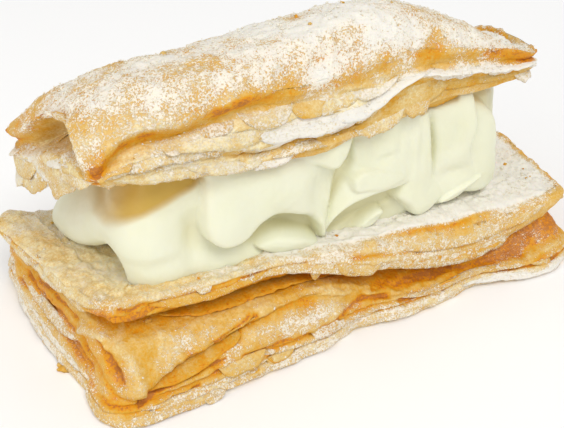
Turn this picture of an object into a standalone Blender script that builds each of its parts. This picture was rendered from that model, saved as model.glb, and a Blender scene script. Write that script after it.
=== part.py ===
"""Mille feuille slice: a puffed pastry base, a cream filling and a domed pastry lid.

Sizes are in millimetres and become metres when the meshes are made.
+X runs along the slice, -Y is the open front with the cream showing, +Z is up.
"""
import math

import bmesh
import bpy

MM = 0.001
GAP = 0.3                       # clearance between touching pieces

# ---- driving dimensions -------------------------------------------------
LONG_STEPS = 38                 # facets along a long side
SHORT_STEPS = 14                # facets along a short end

SLAB_HEIGHT = 16.8              # top of the base at the middle of the slice
SLAB_FALL_X = -0.042            # the base gets lower towards the right end
SLAB_FALL_Y = -0.062            # ... and towards the back
LID_SEAT = 37.1                 # underside of the lid at the middle
LID_ROLL = -0.36                # the lid leans back by about twenty degrees
RIM_THICKNESS = 11.0            # edge of the lid at the left and middle
RIM_THIN = 6.2                  # how much of that is lost at the right tip
CROWN = 7.8                     # rise of the lid's dome above its rim
CROWN_SWELL = 3.9               # extra puff a little right of the middle
CROWN_LOSS = 4.6                # how much of that is lost at the right tip

DENT_MIDDLE = 30.0              # where the skirt's front edge is drawn in
DENT_HALF = 7.0
DENT_DEPTH = 2.8

# corners in plan: front left, front right, back right, back left
SKIRT_PLAN = ((-56.2, -25.0), (51.8, -24.6), (54.6, 12.0), (-60.8, 30.4))
SLAB_PLAN = ((-51.2, -19.2), (54.4, -18.8), (57.2, 9.6), (-58.8, 26.6))
CREAM_PLAN = ((-42.6, -13.2), (38.5, -12.6), (44.0, 5.6), (-48.4, 21.6))
LID_PLAN = ((-49.0, -15.6), (42.2, -15.2), (46.4, 8.4), (-56.2, 19.6))

# loops of the base, from the foot up: plan, share of the height,
# then how far the front, right, back and left sides stand out
BASE_LOOPS = (
    (SKIRT_PLAN, 0.00, -0.8, -0.8, -0.8, -0.8),     # foot
    (SKIRT_PLAN, 0.06, 0.2, 0.2, 0.2, 0.2),         # hem
    (SKIRT_PLAN, 0.20, -0.4, -0.2, -0.4, -0.3),     # pressed lower layers
    (SKIRT_PLAN, 0.40, -3.2, -1.6, -1.8, -1.8),     # sloping skirt
    (SKIRT_PLAN, 0.60, -5.8, -2.6, -3.2, -3.6),     # top of the skirt
    (SLAB_PLAN, 0.69, -4.2, -3.6, -3.0, -3.2),      # crevice between the two halves
    (SLAB_PLAN, 0.76, -1.4, -1.2, -1.2, -1.0),      # underside of the upper step
    (SLAB_PLAN, 0.86, 0.3, 0.2, 0.2, 0.3),          # edge of the upper step
    (SLAB_PLAN, 0.96, -0.2, -0.2, -0.2, -0.1),      # rim of the upper step
    (SLAB_PLAN, 1.00, -1.6, -1.6, -1.6, -1.4),      # flat top
)

# loops of the cream: share of the height, bulge beyond the plan
CREAM_LOOPS = (
    (0.00, -1.0), (0.05, 0.4), (0.16, 1.6), (0.32, 2.4), (0.48, 2.5),
    (0.64, 2.0), (0.80, 1.2), (0.93, 0.2), (1.00, -0.8),
)

# swells on the front of the cream: middle, half width, depth, lean with height
CREAM_SWELLS = (
    ("left lobe", -41.0, 5.5, 1.6, -3.0),
    ("drop", -23.0, 3.6, 2.0, 6.0),
    ("scoop", -10.0, 3.2, -2.2, 4.0),
    ("petal", -2.0, 3.4, 1.8, 5.0),
    ("first ridge", 8.0, 2.6, 1.6, 6.0),
    ("second ridge", 15.0, 2.4, 1.3, 5.0),
    ("third ridge", 23.0, 2.4, 1.4, 3.0),
    ("fourth ridge", 32.0, 2.4, 1.4, 1.0),
)

# loops of the lid's edge: share of the rim's thickness, overhang
LID_LOOPS = (
    (0.00, -1.7), (0.10, -0.3), (0.28, 0.3), (0.52, -0.5), (0.78, 0.1), (1.00, -0.4),
)

# hollow between the layers at the lid's left end: middle and half sizes
POCKET_MIDDLE = (-52.4, -1.6, 45.4)
POCKET_HALF = (7.0, 9.0, 2.9)


# ---- shared shapes ------------------------------------------------------
def mix(a, b, share):
    """Return the value between a and b."""
    return a + (b - a) * share


def ease(low, high, value):
    """Return 0 below low, 1 above high and a smooth change between."""
    share = min(1.0, max(0.0, (value - low) / (high - low)))
    return share * share * (3.0 - 2.0 * share)


def slab_top(x, y):
    """Return the height of the base's flat top."""
    return SLAB_HEIGHT + SLAB_FALL_X * x + SLAB_FALL_Y * y


def lid_seat(x, y):
    """Return the height of the lid's flat underside."""
    return LID_SEAT + LID_ROLL * y


def grown(plan, front, right, back, left):
    """Return the plan with each side moved outwards."""
    corners = ((-left, -front), (right, -front), (right, back), (-left, back))
    return [(x + dx, y + dy) for (x, y), (dx, dy) in zip(plan, corners)]


def bow(along, reach):
    """Return how far a side stands in near its two ends, for rounded corners."""
    from_end = min(along, 1.0 - along) / reach
    if from_end >= 1.0:
        return 0.0
    return 1.0 - math.sqrt(1.0 - (1.0 - from_end) ** 2)


def uneven(angle, level, depth):
    """Return a small hand-made waver for a loop."""
    waver = math.sin(5.0 * angle + 1.3 * level)
    waver += 0.7 * math.sin(11.0 * angle - 0.9 * level + 1.0)
    waver += 0.5 * math.sin(17.0 * angle + 0.6 * level + 2.0)
    return depth * waver / 2.2


def ring(plan, level, depth, radius=4.0):
    """Return one closed loop of plan points, starting at the front left corner."""
    counts = (LONG_STEPS, SHORT_STEPS, LONG_STEPS, SHORT_STEPS)
    total = sum(counts)
    points = []
    for side, count in enumerate(counts):
        ax, ay = plan[side]
        bx, by = plan[(side + 1) % 4]
        length = math.hypot(bx - ax, by - ay)
        out_x, out_y = (by - ay) / length, (ax - bx) / length
        for step in range(count):
            along = 0.5 - 0.5 * math.cos(math.pi * step / count)
            along = mix(step / count, along, 0.35)
            inward = bow(along, radius / length) * radius * 0.29
            if step == 0:
                inward = 0.0
            angle = 2.0 * math.pi * len(points) / total
            push = uneven(angle, level, depth) - inward
            points.append([mix(ax, bx, along) + out_x * push, mix(ay, by, along) + out_y * push])
    for side in range(4):
        start = sum(counts[:side])
        before, after = points[start - 1], points[(start + 1) % total]
        points[start] = [mix(0.5 * (before[k] + after[k]), points[start][k], 0.35) for k in (0, 1)]
    return points


# ---- building meshes ----------------------------------------------------
def stack(loops):
    """Return vertices and side faces for loops of equal length."""
    count = len(loops[0])
    vertices = [point for loop in loops for point in loop]
    faces = []
    for level in range(len(loops) - 1):
        low, high = level * count, (level + 1) * count
        for k in range(count):
            n = (k + 1) % count
            faces.append((low + k, low + n, high + n, high + k))
    return vertices, faces


def add_piece(name, vertices, faces, colour, roughness):
    """Make a named object with its own material."""
    mesh = bpy.data.meshes.new(name)
    mesh.from_pydata([[c * MM for c in v] for v in vertices], [], faces)
    work = bmesh.new()
    work.from_mesh(mesh)
    tall = [face for face in work.faces if len(face.verts) == 4]
    bmesh.ops.triangulate(work, faces=tall)
    bmesh.ops.recalc_face_normals(work, faces=work.faces)
    work.to_mesh(mesh)
    work.free()
    piece = bpy.data.objects.new(name, mesh)
    bpy.context.scene.collection.objects.link(piece)
    material = bpy.data.materials.new(name)
    material.use_nodes = True
    surface = material.node_tree.nodes["Principled BSDF"]
    surface.inputs["Base Color"].default_value = (*colour, 1.0)
    surface.inputs["Roughness"].default_value = roughness
    surface.inputs["Metallic"].default_value = 0.0
    mesh.materials.append(material)
    return piece


def skirt_dent(x, share):
    """Return how far the skirt's front edge is drawn in near its right end."""
    offset = (x - DENT_MIDDLE) / DENT_HALF
    return DENT_DEPTH * math.exp(-offset * offset) * (1.0 - ease(0.0, 0.5, share))


def build_base():
    """Build the lower pastry: a sloping skirt, a crevice and the upper step."""
    loops = []
    for level, (plan, share, front, right, back, left) in enumerate(BASE_LOOPS):
        depth = 0.5 if plan is SKIRT_PLAN else 0.35
        radius = 9.0 if plan is SKIRT_PLAN else 4.0
        outline = ring(grown(plan, front, right, back, left), 0.5 * level, depth, radius)
        loop = []
        for x, y in outline:
            if plan is SKIRT_PLAN and y < 0.0:
                y += skirt_dent(x, share)
            loop.append((x, y, share * slab_top(x, y)))
        loops.append(loop)
    vertices, faces = stack(loops)
    count = len(loops[0])
    faces.append(tuple(reversed(range(count))))
    faces.append(tuple(len(vertices) - count + k for k in range(count)))
    return add_piece("base_pastry", vertices, faces, (0.74, 0.47, 0.20), 0.75)


def cream_swell(x, share):
    """Return how far the piped folds stand out of the cream's front."""
    total = 0.0
    for _, middle, half, depth, lean in CREAM_SWELLS:
        offset = (x - middle - lean * (share - 0.5)) / half
        total += depth * math.exp(-offset * offset)
    return total * math.sin(math.pi * share) ** 0.7 if 0.0 < share < 1.0 else 0.0


def build_cream():
    """Build the cream filling between the base's top and the lid's underside."""
    loops = []
    for level, (share, bulge) in enumerate(CREAM_LOOPS):
        plan = grown(CREAM_PLAN, bulge, bulge, bulge, bulge)
        outline = ring(plan, 0.4 * level, 0.3, 8.0)
        loop = []
        for index, (x, y) in enumerate(outline):
            if 2 < index < LONG_STEPS - 2:
                y -= cream_swell(x, share)
            low = slab_top(x, y) + GAP
            high = lid_seat(x, y) - GAP
            loop.append((x, y, mix(low, high, share)))
        loops.append(loop)
    vertices, faces = stack(loops)
    count = len(loops[0])
    faces.append(tuple(reversed(range(count))))
    faces.append(tuple(len(vertices) - count + k for k in range(count)))
    return add_piece("cream_filling", vertices, faces, (0.92, 0.91, 0.76), 0.45)


def rim_height(x):
    """Return the thickness of the lid's edge."""
    return RIM_THICKNESS - RIM_THIN * ease(8.0, 50.0, x)


def crown_height(x):
    """Return the rise of the dome above the rim."""
    swell = CROWN_SWELL * math.exp(-((x - 8.0) / 22.0) ** 2)
    return CROWN + swell - CROWN_LOSS * ease(10.0, 50.0, x)


def lid_top(outline, base_index):
    """Return the dome's inner vertices and its faces over the rim outline."""
    front = outline[:LONG_STEPS + 1]
    right = outline[LONG_STEPS:LONG_STEPS + SHORT_STEPS + 1]
    back = outline[LONG_STEPS + SHORT_STEPS:2 * LONG_STEPS + SHORT_STEPS + 1][::-1]
    left = (outline[2 * LONG_STEPS + SHORT_STEPS:] + outline[:1])[::-1]
    total = len(outline)
    inner, places = [], {}
    for i in range(LONG_STEPS + 1):
        for j in range(SHORT_STEPS + 1):
            u, v = i / LONG_STEPS, j / SHORT_STEPS
            if j == 0:
                places[i, j] = base_index + i
            elif i == LONG_STEPS:
                places[i, j] = base_index + LONG_STEPS + j
            elif j == SHORT_STEPS:
                places[i, j] = base_index + 2 * LONG_STEPS + SHORT_STEPS - i
            elif i == 0:
                places[i, j] = base_index + total - j
            else:
                point = []
                for k in (0, 1):
                    sides = mix(front[i][k], back[i][k], v) + mix(left[j][k], right[j][k], u)
                    low = mix(front[0][k], front[-1][k], u)
                    high = mix(back[0][k], back[-1][k], u)
                    point.append(sides - mix(low, high, v))
                x, y = point
                across = 1.0 - abs(2.0 * v - 1.0) ** 2.3
                lengthwise = 1.0 - abs(2.0 * u - 1.0) ** 5
                rise = crown_height(x) * math.sqrt(across * lengthwise)
                rise += 0.35 * math.sin(0.42 * x + 0.5 * y) * across
                places[i, j] = base_index + total + len(inner)
                inner.append((x, y, lid_seat(x, y) + rim_height(x) + rise))
    faces = []
    for i in range(LONG_STEPS):
        for j in range(SHORT_STEPS):
            faces.append((places[i, j], places[i + 1, j], places[i + 1, j + 1], places[i, j + 1]))
    return inner, faces


def add_pocket_tool():
    """Make the egg-shaped tool that hollows the lid's left end."""
    work = bmesh.new()
    bmesh.ops.create_uvsphere(work, u_segments=16, v_segments=10, radius=1.0)
    for vertex in work.verts:
        x, y, z = [half * c for half, c in zip(POCKET_HALF, vertex.co)]
        offset = (x, y, z + LID_ROLL * y)
        vertex.co = [(middle + c) * MM for middle, c in zip(POCKET_MIDDLE, offset)]
    mesh = bpy.data.meshes.new("pocket_tool")
    work.to_mesh(mesh)
    work.free()
    tool = bpy.data.objects.new("pocket_tool", mesh)
    bpy.context.scene.collection.objects.link(tool)
    return tool


def cut(piece, tool):
    """Subtract the tool from the piece and remove the tool."""
    change = piece.modifiers.new("cut", "BOOLEAN")
    change.operation = "DIFFERENCE"
    change.solver = "EXACT"
    change.object = tool
    graph = bpy.context.evaluated_depsgraph_get()
    result = bpy.data.meshes.new_from_object(piece.evaluated_get(graph))
    piece.modifiers.remove(change)
    piece.data = result
    bpy.data.objects.remove(tool)


def build_lid():
    """Build the domed upper pastry with the hollow in its left end."""
    loops = []
    for level, (share, overhang) in enumerate(LID_LOOPS):
        plan = grown(LID_PLAN, overhang, overhang, overhang, overhang)
        outline = ring(plan, 0.5 * level, 0.35)
        loops.append([(x, y, lid_seat(x, y) + share * rim_height(x)) for x, y in outline])
    vertices, faces = stack(loops)
    count = len(loops[0])
    faces.append(tuple(reversed(range(count))))
    inner, top_faces = lid_top([point[:2] for point in loops[-1]], len(vertices) - count)
    lid = add_piece("lid_pastry", vertices + inner, faces + top_faces, (0.82, 0.60, 0.33), 0.7)
    cut(lid, add_pocket_tool())
    return lid


def settle(pieces):
    """Move all pieces together so the origin is the middle of the underside."""
    lows = [min(v.co[k] for p in pieces for v in p.data.vertices) for k in range(3)]
    highs = [max(v.co[k] for p in pieces for v in p.data.vertices) for k in range(3)]
    shift = (-(lows[0] + highs[0]) / 2.0, -(lows[1] + highs[1]) / 2.0, -lows[2])
    for piece in pieces:
        for vertex in piece.data.vertices:
            vertex.co = [vertex.co[k] + shift[k] for k in range(3)]


for leftover in list(bpy.data.objects):
    bpy.data.objects.remove(leftover)

settle([build_base(), build_cream(), build_lid()])
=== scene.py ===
"""Looks of the mille feuille slice: flaky pastry, whipped cream and icing sugar around the fixed frame.

Every length is in millimetres from the frame's origin and becomes metres when a mesh is made.
A shell follows the plan outline of its node. A place on it is given as (along, out, up):
millimetres along the outline from the front left corner, outwards from it, and upwards.
"""

import math

import bmesh
import bpy
import numpy as np
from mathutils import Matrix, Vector


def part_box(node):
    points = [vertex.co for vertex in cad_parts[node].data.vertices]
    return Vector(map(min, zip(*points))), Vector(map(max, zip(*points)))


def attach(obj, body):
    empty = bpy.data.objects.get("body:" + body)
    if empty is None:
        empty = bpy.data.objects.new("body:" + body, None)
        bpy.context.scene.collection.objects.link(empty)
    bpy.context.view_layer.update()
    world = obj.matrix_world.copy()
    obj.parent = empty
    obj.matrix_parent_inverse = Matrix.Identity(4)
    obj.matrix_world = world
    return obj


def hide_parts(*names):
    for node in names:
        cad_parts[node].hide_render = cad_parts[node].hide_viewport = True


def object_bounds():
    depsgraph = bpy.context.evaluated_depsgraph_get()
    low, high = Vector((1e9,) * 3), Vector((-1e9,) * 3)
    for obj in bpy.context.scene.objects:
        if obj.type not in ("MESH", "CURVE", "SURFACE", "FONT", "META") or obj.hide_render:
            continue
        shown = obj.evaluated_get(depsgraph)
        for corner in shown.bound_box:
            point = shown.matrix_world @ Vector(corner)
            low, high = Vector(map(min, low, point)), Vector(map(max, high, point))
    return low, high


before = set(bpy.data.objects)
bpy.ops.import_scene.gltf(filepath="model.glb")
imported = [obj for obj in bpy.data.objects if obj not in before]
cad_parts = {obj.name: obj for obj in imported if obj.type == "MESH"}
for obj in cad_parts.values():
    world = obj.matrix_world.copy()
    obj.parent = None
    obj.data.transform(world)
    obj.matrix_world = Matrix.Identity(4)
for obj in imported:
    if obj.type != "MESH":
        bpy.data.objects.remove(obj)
CAD_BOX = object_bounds()
MM = 0.001

BASE_BOX = [[c / MM for c in corner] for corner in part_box("base_pastry")]
CREAM_BOX = [[c / MM for c in corner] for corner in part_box("cream_filling")]
LID_BOX = [[c / MM for c in corner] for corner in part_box("lid_pastry")]


# ---- numbers that vary smoothly ---------------------------------------------
def lattice(ix, iy, iz, seed):
    """Return a fixed pseudo-random value from -1 to 1 for each whole-number place."""
    key = (ix * 374761393 + iy * 668265263 + iz * 1442695041 + seed * 974711) & 0xFFFFFFFF
    key = ((key ^ (key >> 13)) * 1274126177) & 0xFFFFFFFF
    key = key ^ (key >> 16)
    return (key & 0xFFFF) / 32767.5 - 1.0


def grain(points, size, seed):
    """Return smooth noise from about -1 to 1 at the points, with features of the given size."""
    scaled = np.asarray(points, float) / np.asarray(size, float)
    cell = np.floor(scaled).astype(np.int64)
    part = scaled - cell
    part = part * part * part * (part * (part * 6.0 - 15.0) + 10.0)
    total = 0.0
    for dx in (0, 1):
        wx = part[:, 0] if dx else 1.0 - part[:, 0]
        for dy in (0, 1):
            wy = part[:, 1] if dy else 1.0 - part[:, 1]
            for dz in (0, 1):
                wz = part[:, 2] if dz else 1.0 - part[:, 2]
                corner = lattice(cell[:, 0] + dx, cell[:, 1] + dy, cell[:, 2] + dz, seed)
                total = total + wx * wy * wz * corner
    return total


def layered_grain(points, size, seed, octaves=3):
    """Return noise with finer and weaker copies added."""
    size = np.asarray(size, float) * np.ones(3)
    total, weight = 0.0, 1.0
    for octave in range(octaves):
        total = total + weight * grain(points, size / 2.1 ** octave, seed + octave)
        weight *= 0.5
    return total


def ease(low, high, value):
    """Return 0 below low, 1 above high and a smooth change between."""
    share = np.clip((value - low) / (high - low), 0.0, 1.0)
    return share * share * (3.0 - 2.0 * share)


def bend(a, b, leave, arrive, u):
    """Return the smooth curve from a to b at shares u, with the slopes it leaves and arrives by."""
    rise = b - a
    return a + leave * u + (3 * rise - 2 * leave - arrive) * u ** 2 + (leave + arrive - 2 * rise) * u ** 3


def through(places, values, at, length=None):
    """Return a smooth curve through values given at places, periodic when a length is given."""
    places, values = np.asarray(places, float), np.asarray(values, float)
    order = np.argsort(places)
    places, values = places[order], values[order]
    if length is not None:
        at = (at - places[0]) % length + places[0]
        places = np.concatenate([places[-2:] - length, places, places[:2] + length])
        values = np.concatenate([values[-2:], values, values[:2]])
    slope = np.gradient(values, places, axis=0)
    k = np.clip(np.searchsorted(places, at, side="right") - 1, 0, len(places) - 2)
    width = places[k + 1] - places[k]
    u = np.clip((at - places[k]) / width, 0.0, 1.0)
    if values.ndim > 1:
        u, width = u[:, None], width[:, None]
    a, b = values[k], values[k + 1]
    limit = 2.0 * np.abs(b - a) + 1e-9
    leave, arrive = np.clip(slope[k] * width, -limit, limit), np.clip(slope[k + 1] * width, -limit, limit)
    return bend(a, b, leave, arrive, u)


# ---- plan outlines ------------------------------------------------------------
class Outline:
    """A four-cornered plan with eased corners, measured along its edge."""

    def __init__(self, corners, reach):
        self.corners = np.array(corners, float)
        ends = np.roll(self.corners, -1, axis=0)
        self.sides = np.linalg.norm(ends - self.corners, axis=1)
        self.starts = np.concatenate([[0.0], np.cumsum(self.sides)])
        self.length = self.starts[-1]
        self.along = (ends - self.corners) / self.sides[:, None]
        self.reach = reach

    def at(self, d, inset=0.0):
        """Return points and outward normals with the corners eased, wider for inset lines."""
        reach = self.reach + 0.9 * max(0.0, inset)
        d = np.asarray(d, float) % self.length
        points, normals = 0.0, 0.0
        for side, (run_x, run_y) in enumerate(self.along):
            outward = np.array([run_y, -run_x])
            for lap in (-self.length, 0.0, self.length):
                begin = self.starts[side] + lap
                low = np.clip(d - reach, begin, begin + self.sides[side])
                high = np.clip(d + reach, begin, begin + self.sides[side])
                share = ((high - low) / (2.0 * reach))[:, None]
                middle = (0.5 * (high + low) - begin)[:, None]
                points = points + share * (self.corners[side] + self.along[side] * middle)
                normals = normals + share * outward
        return points, normals / np.linalg.norm(normals, axis=1)[:, None]

    def stations(self, long_steps, short_steps):
        """Return the distances of the columns, and the counts on the four sides."""
        counts = (long_steps, short_steps, long_steps, short_steps)
        places = []
        for side, count in enumerate(counts):
            places.append(self.starts[side] + self.sides[side] * np.arange(count) / count)
        return np.concatenate(places), counts


def inset_corners(box, left_front, right_front, right_back, left_back):
    """Return plan corners measured inwards from a box's own corners."""
    (x0, y0, _), (x1, y1, _) = box
    return [
        (x0 + left_front[0], y0 + left_front[1]), (x1 - right_front[0], y0 + right_front[1]),
        (x1 - right_back[0], y1 - right_back[1]), (x0 + left_back[0], y1 - left_back[1]),
    ]


# plan corners: inset from the box at front left, front right, back right and back left, then the easing
SLAB = Outline(inset_corners(BASE_BOX, (9.0, 6.2), (2.8, 6.6), (0.0, 20.2), (1.4, 3.2)), 5.0)
CREAM = Outline(inset_corners(CREAM_BOX, (8.6, 5.6), (8.2, 6.0), (2.6, 19.0), (2.6, 2.2)), 5.5)
LID = Outline(inset_corners(LID_BOX, (7.6, 0.8), (5.0, 1.2), (0.8, 12.0), (0.4, 0.8)), 4.5)

SLAB_RISE, SLAB_FALL_ALONG, SLAB_FALL_BACK = 16.73, 0.042, 0.062
SEAT_RISE, SEAT_LEAN = 36.3, 0.36


def slab_top(x, y):
    """Return the height of the base's flat top."""
    return SLAB_RISE - SLAB_FALL_ALONG * x - SLAB_FALL_BACK * y


def lid_seat(y):
    """Return the height of the lid's leaning underside."""
    return SEAT_RISE - SEAT_LEAN * y


# ---- mesh helpers ---------------------------------------------------------------
def make_mesh(name, vertices, faces):
    """Return a smooth-shaded object from vertices in millimetres."""
    mesh = bpy.data.meshes.new(name)
    mesh.from_pydata((np.asarray(vertices) * MM).tolist(), [], faces)
    mesh.polygons.foreach_set("use_smooth", [True] * len(mesh.polygons))
    mesh.update()
    piece = bpy.data.objects.new(name, mesh)
    bpy.context.scene.collection.objects.link(piece)
    return piece


def read_points(piece, what="co"):
    """Return the vertices, or their normals, as an array."""
    data = np.empty(len(piece.data.vertices) * 3)
    if what == "co":
        piece.data.vertices.foreach_get("co", data)
        return data.reshape(-1, 3) / MM
    piece.data.vertex_normals.foreach_get("vector", data)
    return data.reshape(-1, 3)


def write_points(piece, points):
    """Move the vertices."""
    piece.data.vertices.foreach_set("co", (points * MM).ravel())
    piece.data.update()


def paint(piece, name, values):
    """Store one number per vertex for the materials."""
    layer = piece.data.attributes.get(name) or piece.data.attributes.new(name, "FLOAT", "POINT")
    layer.data.foreach_set("value", np.clip(np.asarray(values, float), 0.0, 1.0))


def wall_faces(rows, columns):
    """Return the faces of a closed wall of rows and columns."""
    row, column = np.meshgrid(np.arange(rows - 1), np.arange(columns), indexing="ij")
    after = (column + 1) % columns
    a, b = row * columns + column, row * columns + after
    return np.stack([a, b, b + columns, a + columns], axis=-1).reshape(-1, 4).tolist()


def cover(loop, counts, start, bottom_up=True):
    """Return the inner vertices and the faces of a grid that fills a loop of columns."""
    long_steps, short_steps = counts[0], counts[1]
    total = len(loop)
    front = loop[:long_steps + 1]
    right = loop[long_steps:long_steps + short_steps + 1]
    back = loop[long_steps + short_steps:2 * long_steps + short_steps + 1][::-1]
    left = np.concatenate([loop[2 * long_steps + short_steps:], loop[:1]])[::-1]
    u = (np.arange(1, long_steps) / long_steps)[:, None, None]
    v = (np.arange(1, short_steps) / short_steps)[None, :, None]
    inner = front[1:-1, None] * (1 - v) + back[1:-1, None] * v
    inner = inner + left[None, 1:-1] * (1 - u) + right[None, 1:-1] * u
    low = front[0] * (1 - u) + front[-1] * u
    high = back[0] * (1 - u) + back[-1] * u
    inner = inner - (low * (1 - v) + high * v)
    place = np.zeros((long_steps + 1, short_steps + 1), int)
    place[1:-1, 1:-1] = start + total + np.arange((long_steps - 1) * (short_steps - 1)).reshape(long_steps - 1, -1)
    place[:, 0] = start + np.arange(long_steps + 1)
    place[-1, :] = start + long_steps + np.arange(short_steps + 1)
    place[:, -1] = start + 2 * long_steps + short_steps - np.arange(long_steps + 1)
    place[0, 1:] = start + total - np.arange(1, short_steps + 1)
    quads = np.stack([place[:-1, :-1], place[1:, :-1], place[1:, 1:], place[:-1, 1:]], axis=-1)
    if not bottom_up:
        quads = quads[..., ::-1]
    shares = np.broadcast_arrays(u[..., 0], v[..., 0])
    return inner.reshape(-1, loop.shape[1]), quads.reshape(-1, 4).tolist(), [s.reshape(-1) for s in shares]


def spread_inwards(values, counts, u, v, stretch):
    """Return values of a loop carried inwards, each place following its nearest edges."""
    long_steps, short_steps = counts[0], counts[1]
    i, j = np.rint(u * long_steps).astype(int), np.rint(v * short_steps).astype(int)
    total, weight = 0.0, 0.0
    for index, gap in ((i, v), (long_steps + j, stretch * (1 - u)), (2 * long_steps + short_steps - i, 1 - v),
                       (len(values) - j, stretch * u)):
        pull = 1.0 / (gap + 1e-3) ** 2
        total, weight = total + pull * values[index % len(values)], weight + pull
    return total / weight


# ---- lofted shells ----------------------------------------------------------------
BACK_PLACES = np.array([0.06, 0.5, 0.94])       # where a guide line is held along the back, as shares of it


def guide_values(guide, outline, d):
    """Return (out, up, bake, sugar) of one guide line at every column."""
    length = outline.length
    right = outline.starts[1] + 0.5 * outline.sides[1]
    backs = outline.starts[2] + outline.sides[2] * BACK_PLACES
    points = guide["left"] + guide["front"] + [(right, *guide["right"])]
    points += [(place, *guide["back"]) for place in backs]
    points = np.array([(place % length, out, up) for place, out, up in points])
    shape = through(points[:, 0], points[:, 1:], d, length)
    marks = np.array([(place % length, bake, sugar) for place, bake, sugar in guide["paint"]])
    if len(marks) == 1:
        finish = np.repeat(marks[:, 1:], len(d), axis=0)
    else:
        finish = through(marks[:, 0], marks[:, 1:], d, length)
    return np.concatenate([shape, finish], axis=1)


def loft(outline, guides, d, spacing, height):
    """Return rows of (x, y, z, bake, sugar) through the guide lines, and each row's place among the lines."""
    lines = []
    for guide in guides:
        out, up, bake, sugar = guide_values(guide, outline, d).T
        point, normal = outline.at(d, -float(out.mean()))
        xy = point + normal * out[:, None]
        z = height(xy[:, 0], xy[:, 1], up)
        lines.append(np.column_stack([xy, z, bake, sugar]))
    lines = np.array(lines)
    gaps = np.linalg.norm(np.diff(lines[..., :3], axis=0), axis=2)
    slopes = np.zeros_like(lines)
    spans = (gaps[1:] + gaps[:-1])[..., None] + 1e-6
    slopes[1:-1] = (lines[2:] - lines[:-2]) / spans
    rows, places = [], []
    for k in range(len(guides) - 1):
        steps = max(2, int(round(np.percentile(gaps[k], 80) / spacing)))
        soft_a, soft_b = guides[k].get("soft", 1.0), guides[k + 1].get("soft", 1.0)
        width = gaps[k][:, None]
        leave, arrive = slopes[k] * width * soft_a, slopes[k + 1] * width * soft_b
        leave[:, 3:], arrive[:, 3:] = 0.0, 0.0
        for step in range(steps + (k == len(guides) - 2)):
            rows.append(bend(lines[k], lines[k + 1], leave, arrive, step / steps))
            places.append(k + step / steps)
    return np.array(rows), np.array(places)


def line(name, front, left, right, back, finish, soft=1.0):
    """Return a guide line: (along, out, up) on the front and the left, (out, up) on the right and the back.

    The finish is (bake, sugar), or a list of (along, bake, sugar). A low soft value makes a sharper bend.
    """
    if not isinstance(finish, list):
        finish = [(0.0, *finish)]
    return {"name": name, "front": front, "left": left, "right": right, "back": back,
            "paint": finish, "soft": soft}


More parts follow.
